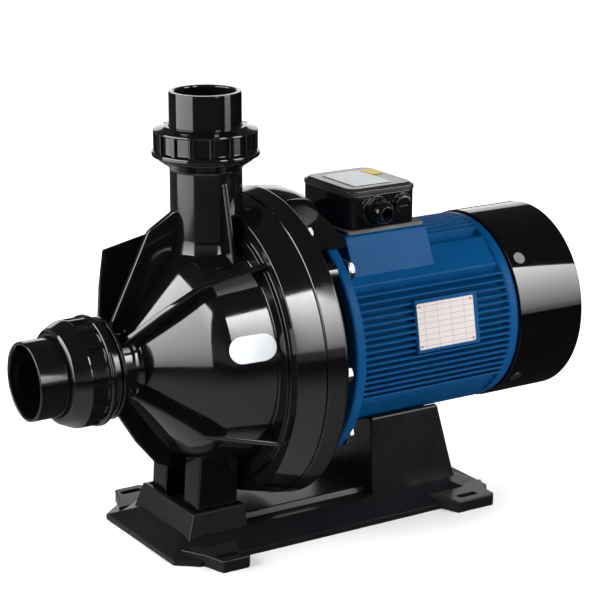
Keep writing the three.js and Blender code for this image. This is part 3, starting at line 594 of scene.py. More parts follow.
    def with_(self, *others: "Form") -> "Form":
        """Adds other shapes to this piece as they stand.

        Args:
            others: The shapes to add.

        Returns:
            This shape.
        """
        for other in others:
            carrier = bpy.data.meshes.new("carrier")
            other.mesh.to_mesh(carrier)
            self.mesh.from_mesh(carrier)
            bpy.data.meshes.remove(carrier)
        return self

    def carved(self, *tools: "Form", how: Joining = Joining.CUT) -> "Form":
        """Combines other solids with this one.

        Args:
            tools: The other solids.
            how: Whether they are cut away or kept in common.

        Returns:
            This shape.
        """
        body = self.as_object("carved")
        made = [tool.as_object("tool") for tool in tools]
        for tool in made:
            step = body.modifiers.new("carve", "BOOLEAN")
            step.operation = how.value
            step.solver = "EXACT"
            step.object = tool
        graph = bpy.context.evaluated_depsgraph_get()
        result = bpy.data.meshes.new_from_object(body.evaluated_get(graph))
        self.mesh.clear()
        self.mesh.from_mesh(result)
        for thing in [body, *made]:
            data = thing.data
            bpy.data.objects.remove(thing)
            bpy.data.meshes.remove(data)
        bpy.data.meshes.remove(result)
        bmesh.ops.dissolve_degenerate(self.mesh, edges=self.mesh.edges[:], dist=1e-4)
        return self

    def as_object(self, name: str) -> bpy.types.Object:
        """The shape as an object in the scene.

        Args:
            name: The object's name.

        Returns:
            The object.
        """
        data = bpy.data.meshes.new(name)
        self.mesh.to_mesh(data)
        made = bpy.data.objects.new(name, data)
        bpy.context.scene.collection.objects.link(made)
        return made

    # -- the end --
    def finished(
        self,
        name: str,
        finish: Finish,
        body: Body = Body.PUMP,
        nodes: Sequence[str] = (),
        sharp: float = 32.0,
    ) -> bpy.types.Object:
        """Sets the shape into the shared frame as a piece.

        Args:
            name: The piece's name.
            finish: Its finish.
            body: The body that it rides on.
            nodes: The CAD nodes that it stands for.
            sharp: Edges that turn more than this stay sharp, in degrees.

        Returns:
            The piece.
        """
        limit = math.radians(sharp)
        for edge in self.mesh.edges:
            edge.smooth = edge.is_manifold and edge.calc_face_angle(0.0) < limit
        for face in self.mesh.faces:
            face.smooth = True
        scale = Matrix.Scale(MILLIMETRE, 4) @ Matrix.Translation((-ORIGIN_X, 0.0, 0.0))
        self.placed(scale)
        made = self.as_object(name)
        made.data.materials.append(finish.material())
        weighted = made.modifiers.new("weighted", "WEIGHTED_NORMAL")
        weighted.keep_sharp = True
        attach(made, body.value)
        if nodes:
            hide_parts(*nodes)
        LOG.info("%s: %d faces on %s", name, len(made.data.polygons), body.value)
        return made


def rectangle(x: Point, y: Point) -> list[Point]:
    """The corners of a rectangle."""
    return [(x[0], y[0]), (x[1], y[0]), (x[1], y[1]), (x[0], y[1])]


def rod(radius: float, low: float, high: float, edge: float = 0.0, steps: int = 48) -> Form:
    """A round bar along Z with its end corners rounded."""
    corner = (edge,) if edge else ()
    return Form.turned([(low, 0), (low, radius, *corner), (high, radius, *corner), (high, 0)], steps)


def ring(outer: float, inner: float, low: float, high: float, edge: float = 0.0, steps: int = 128) -> Form:
    """A plain ring along Z.

    Args:
        outer: Outer radius.
        inner: Inner radius.
        low: The bottom.
        high: The top.
        edge: How far the corners are rounded.
        steps: Facets in a full turn.

    Returns:
        The shape.
    """
    corner = (edge,) if edge else ()
    section = [(low, inner, *corner), (low, outer, *corner), (high, outer, *corner), (high, inner, *corner)]
    return Form.turned(section, steps)


def above(height: float) -> Callable[[Vector], bool]:
    """A test for edges whose middle lies above a height."""
    return lambda middle: middle.z > height


def about_shaft(radius: float, angle: float) -> tuple[float, float]:
    """The (y, z) of a point about the shaft, its angle counted from the near side upwards."""
    turn = math.radians(angle)
    return -radius * math.cos(turn), AXIS_HEIGHT + radius * math.sin(turn)


def facing_rear(form: Form, x: float, y: float, z: float) -> Form:
    """Sets a shape that stands on Z so that it points along +X from a place."""
    return form.swung(90.0, "Y").moved(x, y, z)


def facing_near(form: Form, x: float, y: float, z: float) -> Form:
    """Sets a shape that stands on Z so that it points along -Y from a place."""
    return form.swung(90.0, "X").moved(x, y, z)


# ---- sub-assemblies ----
@dataclass
class PipeUnion:
    """A pipe union: a glued tail held by a ribbed nut.

    Attributes:
        side: suction or discharge.
        nut_body: The body that the nut rides on.
        growth: How much wider than the discharge union it is.
        tail_end: Where the tail ends, from the collar's face.
        socket_radius: Radius of the socket for the pipe.
        tail_radius: Outer radius of the tail.
        bore_radius: Radius of the water way.
        socket_depth: How deep the pipe goes in.
        rim_radius: Radius of the nut's rim.
        nut_end: Where the nut's shoulder ends.
        rib_count: Grip ribs round the nut.
    """

    side: str
    nut_body: Body
    growth: float = 1.0
    tail_end: float = 69.0
    socket_radius: float = 32.2
    tail_radius: float = 38.0
    bore_radius: float = 29.0
    socket_depth: float = 36.0
    rim_radius: float = 56.5
    nut_end: float = 33.0
    rib_count: int = 16

    def placement(self) -> Matrix:
        """Where the union's collar face stands, with its size.

        Returns:
            The matrix that sets the union in its place.
        """
        if self.side == "discharge":
            return Matrix.Translation((0.0, 0.0, 412.0))
        stand = Matrix.Translation((-137.0, 0.0, AXIS_HEIGHT)) @ Matrix.Rotation(math.radians(-90.0), 4, "Y")
        return stand @ Matrix.Diagonal((self.growth, self.growth, 1.0, 1.0))

    def tail(self) -> bpy.types.Object:
        """The socket that the pipe is glued into.

        Returns:
            The piece.
        """
        end, step = self.tail_end, self.tail_end - self.socket_depth
        form = Form.turned(
            [
                (18.3, self.bore_radius), (18.3, 43.5, 0.6), (25.0, 43.5, 0.8), (25.0, self.tail_radius, 0.8),
                (end, self.tail_radius, 0.9), (end, self.socket_radius + 0.9, 0.4),
                (end - 1.5, self.socket_radius, 0.5), (step, self.socket_radius - 0.3, 0.4),
                (step, self.bore_radius, 0.8),
            ],
            160,
        )
        name = f"{self.side}_union_tail"
        return form.placed(self.placement()).finished(f"{name}_turned", GLOSS_UNION, nodes=[name])

    def rib(self, turn: float) -> Form:
        """One grip rib of the nut.

        Args:
            turn: Where it stands about the nut, in degrees.

        Returns:
            The shape.
        """
        bar = Form.block((46.0, self.rim_radius - 1.7), (-2.6, 2.6), (6.0, 29.0))
        bar.softened(0.9, 3, where=lambda middle: middle.x > 48.5)
        return bar.swung(turn, "Z")

    def nut(self) -> bpy.types.Object:
        """The nut, with its rim, grip ribs and sloped shoulder.

        Returns:
            The piece.
        """
        rim, end = self.rim_radius, self.nut_end
        band, crest = rim - 4.7, rim - 1.7
        form = Form.turned(
            [
                (1.5, 44.8, 0.6), (1.5, rim, 1.4), (6.8, rim, 1.6), (8.2, band, 1.0), (26.4, band, 0.5),
                (27.0, crest, 0.6), (29.6, crest - 0.2, 1.4), (end - 1.4, 45.6, 1.4), (end, 42.6, 0.8),
                (end, 38.8, 0.5), (25.3, 38.8), (25.3, 44.8),
            ],
            192,
        )
        for index in range(self.rib_count):
            form.with_(self.rib(360.0 * index / self.rib_count))
        name = f"{self.side}_union_nut"
        return form.placed(self.placement()).finished(f"{name}_ribbed", GLOSS_UNION, self.nut_body, [name])

    def build(self) -> None:
        """Makes both pieces."""
        self.tail()
        self.nut()


SUCTION = PipeUnion("suction", Body.SUCTION_NUT, 1.09, 78.0, 34.5, rim_radius=53.7, nut_end=46.0)
DISCHARGE = PipeUnion("discharge", Body.DISCHARGE_NUT)


@dataclass
class WetEnd:
    """The two casing halves, with ribs, necks, ring, hood, badge, drain plug and screws."""

    rib_thickness: float = 6.0
    screw_circle: float = 152.5
    bolt_circle: float = 127.0
    drain_x: float = -14.0
    drain_turn: float = -142.0
    ribs: dict[float, list[Point]] = field(
        default_factory=lambda: {
            90.0: [(-117, 44), (-70, 139), (-42, 156), (-30, 156)],
            50.0: [(-117, 44), (-86, 88), (-54, 124), (19, 148)],
            130.0: [(-117, 44), (-98, 93), (-80, 132), (19, 152)],
            -32.0: [(-114, 42), (-86, 76), (-60, 114), (19, 144)],
            212.0: [(-114, 42), (-86, 76), (-60, 114), (19, 144)],
            -90.0: [(-116, 46), (-90, 88), (-66, 117), (-31, 131)],
        }
    )

    def shell(self) -> Form:
        """The turned shell: neck, cone, drum, lip and front half of the ring.

        Returns:
            The shape.
        """
        return Form.turned(
            [
                (-118, 31.9), (-118, 38), (-106, 37, 3), (-99, 38, 3), (-47, 107, 9), (-37, 114.4, 5),
                (13, 125, 1.5), (13, 138.5, 0.6), (12.4, 139, 0.5), (12.4, 141, 0.6), (16.4, 141.4, 1.2),
                (16.4, 153.4, 1.0), (15, 154.4, 0.4), (15.2, 156.4, 0.8), (45, 163.8, 0.5),
                (45.7, 163.2, 0.3),
                (45.7, 139), (21, 139), (21, 119), (-33, 108), (-46, 101), (-101, 31),
            ],
            224,
        ).along_shaft()

    def rib(self, angle: float, outer: list[Point]) -> Form:
        """A moulded rib that stands on the shaft axis at an angle, thinner towards its edge.

        Args:
            angle: Degrees about the shaft from the near side upwards.
            outer: (x, radius) points of its free edge.

        Returns:
            The shape.
        """
        end = outer[-1][0]
        outline = [*outer, (end, 108), (-45, 104), (-96, 34), (-112, 34)]
        plate = Form.raised(outline, -self.rib_thickness / 2, self.rib_thickness / 2)
        plate.softened(1.7, 4, 60.0, where=lambda middle: self.is_crest(middle, outer))
        # The outline lies in (x, radius): stand it up so that the radius points up, then swing it round.
        plate.swung(90.0, "X")
        return plate.swung(90.0 - angle, "X").moved(z=AXIS_HEIGHT)

    def is_crest(self, middle: Vector, outer: list[Point]) -> bool:
        """Whether a point lies on the outer line of a rib.

        Args:
            middle: The point.
            outer: (x, radius) points of the rib's free edge.

        Returns:
            True on the free edge.
        """
        for start, end in zip(outer, outer[1:]):
            a, b = Vector(start), Vector(end)
            nearest = (middle.xy - a).dot(b - a) / (b - a).length_squared
            if 0.02 < nearest < 0.98 and (a + nearest * (b - a) - middle.xy).length < 0.1:
                return True
        return False

    def neck_end(self, union: PipeUnion) -> Form:
        """The collar or flange and the threaded end that a neck carries.

        Args:
            union: The union that is screwed onto the neck.

        Returns:
            The shape.
        """
        if union.side == "discharge":
            collar = [(-22, 31.9), (-22, 38), (-10.5, 38, 3), (-2, 50.5, 1.5), (-0.2, 50.5, 0.5), (0, 44.4)]
        else:
            collar = [
                (-19, 31.9), (-19, 34.6, 0.6), (-14, 35.5, 1.5), (-12.6, 49.5, 0.8), (-8.8, 49.5, 0.8),
                (-7.5, 46.4, 0.6), (-0.2, 46, 0.6), (0, 44.4),
            ]
        section = [*collar, (2, 42.6)]
        for turn in range(5):
            station = 3.0 + 3.0 * turn
            section += [(station, 42.6), (station + 0.8, 44.0), (station + 1.6, 44.0), (station + 2.4, 42.6)]
        section += [(18, 42.6, 0.5), (18, 31.9, 0.6)]
        return Form.turned(section, 128).placed(union.placement())

    def upright_neck(self) -> Form:
        """The discharge neck, its gussets and the fillet at its foot.

        Returns:
            The shape.
        """
        section = [(285, 31.9), (285, 45), (306, 44, 6), (322, 38.2, 7), (392, 38), (392, 31.9)]
        tube = Form.turned(section, 160)
        for side in (-1, 1):
            corners = [(30, 386), (38.2, 390), (39.6, 388), (60, 300), (60, 280), (30, 280)]
            gusset = [(side * y, z) for y, z in corners]
            plate = Form.raised(gusset, -2.8, 2.8).softened(1.2, 3, 60.0)
            # The outline lies in (y, z): stand it up across the shaft.
            tube.with_(plate.swung(90.0, "X").swung(90.0, "Z"))
        return tube

    def foot(self, side: int) -> Form:
        """One leg of the casing with a foot plate.

        Args:
            side: -1 for the near leg, 1 for the far one.

        Returns:
            The shape.
        """
        low, high = sorted((side * 20.0, side * 50.0))
        leg = Form.lofted(rectangle((-44, 5), (low, high)), 44, rectangle((-38, 7), (low - 2, high + 2)), 128)
        leg.softened(1.8, 3)
        plate = Form.block((-44.0, 5.0), (low, high), (36.3, 46.0), 1.2)
        return leg.with_(plate)

    def front(self) -> bpy.types.Object:
        """The front half of the casing.

        Returns:
            The piece.
        """
        form = self.shell()
        for angle, outer in self.ribs.items():
            form.with_(self.rib(angle, outer))
        form.with_(self.neck_end(SUCTION), self.neck_end(DISCHARGE), self.upright_neck())
        form.with_(self.foot(-1), self.foot(1), Form.block((-16.0, -10.0), (-22.0, 22.0), (62.0, 112.0), 1.0))
        boss = Form.turned([(98, 0), (98, 15.4), (122, 13.2, 1.0), (122, 0)], 48)
        form.with_(self.at_drain(boss))
        nodes = ["front_casing", "suction_neck", "discharge_neck"]
        return form.finished("casing_front_moulding", GLOSS_CASING, nodes=nodes)

    def at_drain(self, form: Form) -> Form:
        """Points a shape that stands on Z out through the drain."""
        return form.swung(self.drain_turn, "X").moved(self.drain_x, 0, AXIS_HEIGHT)

    def sector(self, half_width: float) -> Form:
        """A wedge that opens upwards from the shaft, this wide to each side 200 mm up."""
        wedge = Form.raised([(0, 0), (200, -half_width), (200, half_width)], 0, 80)
        return wedge.swung(-90.0, "Y").moved(x=130, z=AXIS_HEIGHT)

    def hood(self) -> Form:
        """The rounded hood behind the top of the ring.

        Returns:
            The shape.
        """
        section = [
            (60, 139.4), (60, 158), (70, 165.6, 4), (88, 166.6, 9), (104, 163, 9), (114, 153, 6),
            (118, 146, 2), (118, 139.4),
        ]
        hood = Form.turned(section, 224).along_shaft()
        return hood.carved(self.sector(48.0), how=Joining.KEEP).softened(2.2, 3, 50.0)

    def shroud(self) -> Form:
        """The thin skirt that closes the gap above the motor flange."""
        skirt = ring(142.2, 139.2, 64.0, 122.0, 0.8, 224).along_shaft()
        return skirt.carved(self.sector(145.0), how=Joining.KEEP)

    def rear(self) -> bpy.types.Object:
        """The rear half of the casing with its hood and bolt bosses.

        Returns:
            The piece.
        """
        form = Form.turned(
            [
                (46.3, 16.5), (46.3, 163.6, 0.4), (47.2, 164.8, 0.4), (68, 168.3, 1.6), (70, 166.4, 0.6),
                (70, 143), (76, 139, 2), (92, 130, 3), (99, 126, 1), (99, 110), (92.5, 110), (92.5, 120),
                (71, 133), (54, 133), (54, 27), (74, 27), (74, 16.5),
            ],
            224,
        ).along_shaft()
        form.with_(self.hood(), self.shroud())
        for angle in (45, 135, 225, 315):
            form.with_(facing_rear(rod(13.0, 70.0, 99.0, 0.8), 0, *about_shaft(self.bolt_circle, angle)))
        return form.finished("casing_rear_moulding", GLOSS_CASING, nodes=["rear_casing"])

    def badge(self) -> bpy.types.Object:
        """The blank oval badge on the drum.

        Returns:
            The piece.
        """
        skin = Form.turned(
            [
                (-45, 111.2), (-45, 113.1), (-39, 116.1), (13, 127.1), (15, 127.1), (15, 125.2), (-39, 114.3),
            ],
            224,
        ).along_shaft()
        pill = Form.raised(rectangle((-38, 11), (-14, 14)), 100, 140, 13.9)
        pill.swung(90.0, "X").swung(-15.7, "X").moved(z=AXIS_HEIGHT)
        plate = skin.carved(pill, how=Joining.KEEP).softened(0.5, 2, 50.0)
        return plate.finished("badge_plate", WHITE_LABEL, nodes=["casing_badge"])

    def screws(self) -> None:
        """The hexagon screws behind the ring."""
        for index in range(6):
            y, z = about_shaft(self.screw_circle, 60.0 * index)
            head = Form.hexagon(8.6, 1.8, 9.7).with_(rod(8.5, 0.0, 1.8, 0.4), rod(4.2, -40.0, 0.5))
            name = f"casing_screw_{index + 1}"
            facing_rear(head, 70.3, y, z).finished(f"{name}_hex", ZINC_STEEL, nodes=[name])

    def drain(self) -> bpy.types.Object:
        """The drain plug low on the far side of the drum."""
        plug = Form.hexagon(11.0, 124.4, 130.6).with_(rod(10.6, 122.6, 124.6, 0.4), rod(6.1, 109.6, 123.0))
        return self.at_drain(plug).finished("drain_plug_hex", GLOSS_UNION, Body.DRAIN, ["drain_plug"])

    def build(self) -> None:
        """Makes every piece of the wet end."""
        self.front()
        self.rear()
        self.badge()
        self.screws()
        self.drain()


@dataclass
class Motor:
    """The motor's flange, finned frame, data plate, fan cover and their fastenings."""

    fin_radius: float = 106.0
    core_radius: float = 97.0
    fin_front: float = 128.0
    fin_rear: float = 324.0
    fin_pitch: float = 7.2
    cover_radius: float = 107.5
    plate_tilt: float = 10.0
    bolt_circle: float = 127.0
    screw_angles: tuple[float, ...] = (40.0, 140.0, 220.0, 320.0)

    def flange(self) -> bpy.types.Object:
        """The round flange with its step.

        Returns:
            The piece.
        """
        form = Form.turned(
            [
                (99.3, 17), (99.3, 136.4), (101, 138, 1.0), (109.6, 138, 1.6), (112, 136, 0.8),
                (112, 88), (119, 88),
                (119, 80), (112, 80), (112, 41), (119, 41), (119, 31.3), (101, 31.3), (101, 17),
            ],
            224,
        ).along_shaft()
        return form.finished("motor_flange_turned", BLUE_PAINT, nodes=["motor_flange"])

    def fin(self, offset: float, side: float) -> Form:
        """One straight fin.

        Args:
            offset: How far the fin stands from the middle of its row.
            side: The direction of its row, in degrees about the shaft.

        Returns:
            The fin in its place.
        """
        tip = math.sqrt(self.fin_radius**2 - offset**2)
        root = math.sqrt(self.core_radius**2 - offset**2) - 6.0
        blade = Form.block((self.fin_front - 4, self.fin_rear + 4), (-1.35, 1.35), (root, tip))
        blade.softened(0.8, 3, where=lambda middle: middle.z > tip - 0.01 and abs(middle.y) > 1.0)
        for corner in blade.mesh.verts:
            if corner.co.z < root + 0.5:
                corner.co.y *= 1.5
        return blade.moved(y=offset).swung(side, "X").moved(z=AXIS_HEIGHT)

    def fins(self) -> Form:
        """Rows of fins on both sides, the top and the bottom.

        Returns:
            The shape.
        """
        form = Form()
        for side, count in ((90.0, 17), (-90.0, 17), (0.0, 11), (180.0, 11)):
            for index in range(count):
                form.with_(self.fin((index - (count - 1) / 2) * self.fin_pitch, side))
        return form

    def shoulder(self, up: int, near: int) -> Form:
        """The flat panel between a side row and an end row of fins.

        Args:
            up: 1 above the shaft, -1 below it.
            near: -1 on the near side, 1 on the far side.

        Returns:
            The shape.
        """
        outline = [(40, 60), (48, 91.6), (52, 91.8), (78.6, 66.4), (78, 58)]
        points = [(y * near, z * up) for y, z in outline]
        panel = Form.raised(points, self.fin_front - 6, self.fin_rear + 2).softened(1.4, 3, 25.0)
        return panel.placed(STATIONS_TO_X).moved(z=AXIS_HEIGHT)

    def box_seat(self) -> Form:
        """The seat cast on top of the frame for the terminal box.

        Returns:
            The shape.
        """
        outline = [(-70, 70), (70, 70), (70, 75), (52.4, 113), (50, 115), (-50, 115), (-52.4, 113), (-70, 75)]
        seat = Form.raised(outline, 140, 246).softened(1.6, 3, 30.0)
        return seat.placed(STATIONS_TO_X).moved(z=AXIS_HEIGHT)

    def frame(self) -> bpy.types.Object:
        """The cast frame: bands at both ends, fins, shoulders, box seat and plate pad.

        Returns:
            The piece.
        """
        form = Form.turned(
            [
                (112.3, 88.5), (112.3, 109, 0.5), (116, 107.4, 3), (126, 105.8, 3), (128, 104, 0.8),
                (131, 97.6, 2), (321, 97.6, 2), (324, 104.6, 0.8), (326, 105.8, 1), (334, 106, 1.2),
                (336, 104.6, 0.6), (336, 88.5),
            ],
            192,
        ).along_shaft()
        form.with_(self.fins(), self.box_seat())
        for up in (-1, 1):
            for near in (-1, 1):
                form.with_(self.shoulder(up, near))
        pad = Form.block((197.0, 281.0), (-106.5, -84.5), (-29.0, 29.0), 1.6)
        form.with_(pad.swung(-self.plate_tilt, "X").moved(z=AXIS_HEIGHT))
        return form.finished("motor_frame_finned", BLUE_PAINT, nodes=["motor_frame"])

    def plate(self) -> None:
        """The blank data plate and its four drive pins."""
        sheet = Form.raised(rectangle((199, 274), (-25, 25)), 106.85, 107.75, 2.0).softened(0.25, 2, 60.0)
        tilt = Matrix.Rotation(math.radians(90.0 - self.plate_tilt), 4, "X")
        place = Matrix.Translation((0, 0, AXIS_HEIGHT)) @ tilt
        sheet.placed(place).finished("data_plate", SILVER_PLATE, nodes=["nameplate"])
        pins = Form()
        for x in (202.4, 270.6):
            for y in (-21.6, 21.6):
                pin = Form.turned([(107.0, 0), (107.0, 1.7), (108.0, 1.5, 0.3), (108.4, 0)], 24)
                pins.with_(pin.moved(x, y))
        pins.placed(place).finished("data_plate_pins", ZINC_STEEL)

    def bolts(self) -> None:
        """The flange bolts, each with a washer and a spring washer."""
        for index, angle in enumerate((45, 135, 225, 315)):
            y, z = about_shaft(self.bolt_circle, angle)
            bolt = Form.hexagon(11.0, 4.6, 9.9).with_(
                ring(12.4, 6.0, 0.3, 2.3, 0.5, 48), ring(9.9, 6.0, 2.3, 4.6, 0.4, 48), rod(5.7, -28.0, 5.0)
            )
            name = f"flange_bolt_{index + 1}"
            facing_rear(bolt, 112.0, y, z).finished(f"{name}_hex", ZINC_STEEL, nodes=[name])

    def grille_slot(self, radius: float, start: float) -> Form:
        """A curved slot tool for the rear grille.

        Args:
            radius: Radius of the slot's middle line.
            start: Where it starts, in degrees.

        Returns:
            The shape.
        """
        slot = ring(radius + 4.5, radius - 4.5, 416.0, 430.0, 0.0, 160)
        reach = 140.0
        spans = [math.radians(start + 60.0 * share) for share in (0.0, 0.34, 0.67, 1.0)]
        wedge = [(0.0, 0.0)] + [(reach * math.cos(turn), reach * math.sin(turn)) for turn in spans]
        return slot.carved(Form.raised(wedge, 410.0, 432.0), how=Joining.KEEP)

    def cover(self) -> bpy.types.Object:
        """The pressed fan cover with its slotted rear face.

        Returns:
            The piece.
        """
        radius = self.cover_radius
        form = Form.turned(
            [
                (338, radius - 2.4, 0.4), (338, radius, 0.6), (425, radius, 1.2), (425, radius - 4, 0.8),
                (423.4, radius - 5, 0.6), (423.4, 92, 2), (423.4, 20, 2), (425, 16, 2), (425, 0),
                (422.6, 0), (422.6, 16), (421, 20), (421, 90), (421, radius - 2.4, 1),
            ],
            224,
        )
        tools = Form()
        for radius_of_ring in (36.0, 56.0, 76.0):
            for index in range(5):
                tools.with_(self.grille_slot(radius_of_ring, 72.0 * index + 6.0))
        form.carved(tools).along_shaft()
        return form.finished("fan_cover_pressed", COVER_PAINT, nodes=["fan_cover"])

    def cover_screws(self) -> None:
        """The pan-head screws that hold the fan cover."""
        for index, angle in enumerate(self.screw_angles):
            section = [(107.9, 0), (107.9, 6.2, 0.3), (110.4, 5.9, 1.4), (111.2, 3.4, 1.2), (111.2, 0)]
            head = Form.turned(section, 40)
            arms = Form.block((-3.6, 3.6), (-0.7, 0.7), (109.6, 113.0)).with_(
                Form.block((-0.7, 0.7), (-3.6, 3.6), (109.6, 113.0))
            )
            head.carved(arms).with_(rod(2.4, 92.0, 108.4), ring(6.9, 2.5, 107.6, 108.1, 0.0, 40))
            head.swung(90.0 - angle, "X").moved(352.0, 0, AXIS_HEIGHT)
            name = f"cover_screw_{index + 1}"
            head.finished(f"{name}_pan", ZINC_STEEL, nodes=[name])

    def build(self) -> None:
        """Makes every piece of the motor."""
        self.flange()
        self.frame()
        self.plate()
        self.bolts()
        self.cover()
        self.cover_screws()


@dataclass
class TerminalBox:
    """The terminal box: gasket, box, lid, blank labels, cable gland and blanking plug."""

    x: Point = (148.0, 235.0)
    half_width: float = 48.0
    floor_z: float = 321.6
    top_z: float = 358.0
    lid_z: float = 366.0
    gland: Point = (181.0, 341.0)
    plug: Point = (216.0, 343.0)

    def footprint(self, inset: float) -> list[Point]:
        """The outline of the box, drawn in by a distance."""
        half = self.half_width - inset
        return rectangle((self.x[0] + inset, self.x[1] - inset), (-half, half))

    def gasket(self) -> bpy.types.Object:
        """The flat gasket between the frame and the box."""
        sheet = Form.raised(rectangle((145, 244), (-50, 50)), 317.3, 321.3, 4.0).softened(0.5, 2, 60.0)
        return sheet.finished("terminal_gasket", GASKET, nodes=["terminal_box_gasket"])

    def box(self) -> bpy.types.Object:
        """The hollow box with its bosses.

        Returns:
            The piece.
        """
        form = Form.raised(self.footprint(0.0), self.floor_z, self.top_z, 10.0).softened(0.9, 3, 60.0)
        inside = Form.raised(self.footprint(3.5), self.floor_z + 3.5, self.top_z + 1, 7.0)
        form.carved(inside)
        gland_boss = Form.turned([(40, 16.5), (50, 16.5, 1.2), (50, 10.2), (40, 10.2)], 64)
        plug_boss = Form.turned([(40, 13.5), (49, 13.5, 1.0), (49, 8.2), (40, 8.2)], 64)
        form.with_(facing_near(gland_boss, self.gland[0], 0, self.gland[1]))
        form.with_(facing_near(plug_boss, self.plug[0], 0, self.plug[1]))
        return form.finished("terminal_box_moulding", BOX_PLASTIC, nodes=["terminal_box"])

    def lid(self) -> bpy.types.Object:
        """The lid with its chamfered crown and shadow gap.

        Returns:
            The piece.
        """
        plate = Form.raised(self.footprint(-1.0), self.top_z + 0.3, self.lid_z - 2.5, 11.0)
        plate.softened(0.6, 3, 60.0)
        low, high = self.footprint(-0.4), self.footprint(2.4)
        crown = Form.lofted(low, self.lid_z - 2.9, high, self.lid_z)
        upright = [edge for edge in crown.mesh.edges if rise(edge) > 1.0]
        bmesh.ops.bevel(crown.mesh, geom=upright, affect="EDGES", **corner_pull(10.0, 8))
        crown.softened(0.7, 3, 25.0, where=above(self.lid_z - 0.5))
        return plate.with_(crown).finished("terminal_lid_moulding", LID_PLASTIC, nodes=["terminal_box_lid"])

    def labels(self) -> None:
        """The blank white label and the blank yellow sticker on the lid."""
        low, high = self.lid_z + 0.3, self.lid_z + 0.8
        white = Form.raised(rectangle((163, 211), (-34, 30)), low, high, 1.5)
        yellow = Form.raised(rectangle((213, 228), (6, 30)), low, high, 1.5)
        white.finished("lid_label_blank", WHITE_LABEL, nodes=["lid_label"])
        yellow.finished("warning_label_blank", YELLOW_LABEL, nodes=["warning_label"])

    def cable_gland(self) -> None:
        """The gland's hexagon body and its ribbed dome nut."""
        x, z = self.gland
        body = Form.hexagon(15.0, 50.3, 57.0).carved(rod(6.2, 40.0, 70.0))
        body.with_(ring(10.0, 6.2, 38.0, 67.0, 0.4, 64))
        facing_near(body, x, 0, z).finished("gland_body_hex", BOX_PLASTIC, nodes=["gland_body"])
        cap = Form.turned(
            [
                (57.5, 10.4), (57.5, 12.2, 0.5), (66, 12.2, 1.5), (70.4, 9.6, 2.4), (72, 7.4, 0.6),
                (72, 6.0), (68, 6.0), (68, 10.4),
            ],
            96,
        )
        for index in range(12):
            rib = Form.block((11.0, 13.0), (-1.1, 1.1), (57.8, 65.4))
            rib.softened(0.4, 2, where=lambda middle: middle.x > 12.0)
            cap.with_(rib.swung(30.0 * index, "Z"))
        cap.placed(Matrix.Rotation(math.radians(90.0), 4, "X")).moved(x, 0, z)
        cap.finished("gland_cap_domed", BOX_PLASTIC, Body.GLAND_NUT, ["gland_cap"])

    def blanking_plug(self) -> bpy.types.Object:
        """The slotted blanking plug beside the gland.

        Returns:
            The piece.
        """
        x, z = self.plug
        plug = Form.turned([(49.3, 0), (49.3, 11, 0.4), (52.6, 11, 1.2), (53.0, 8.4, 0.4), (53.0, 0)], 64)
        plug.carved(Form.block((-7.0, 7.0), (-1.2, 1.2), (51.4, 55.0))).with_(rod(7.9, 38.0, 50.0))
        facing_near(plug, x, 0, z)
        return plug.finished("blanking_plug_slotted", BOX_PLASTIC, nodes=["blanking_plug"])

    def build(self) -> None:
        """Makes every piece of the terminal box."""
        self.gasket()
        self.box()
        self.lid()
        self.labels()
        self.cable_gland()
        self.blanking_plug()


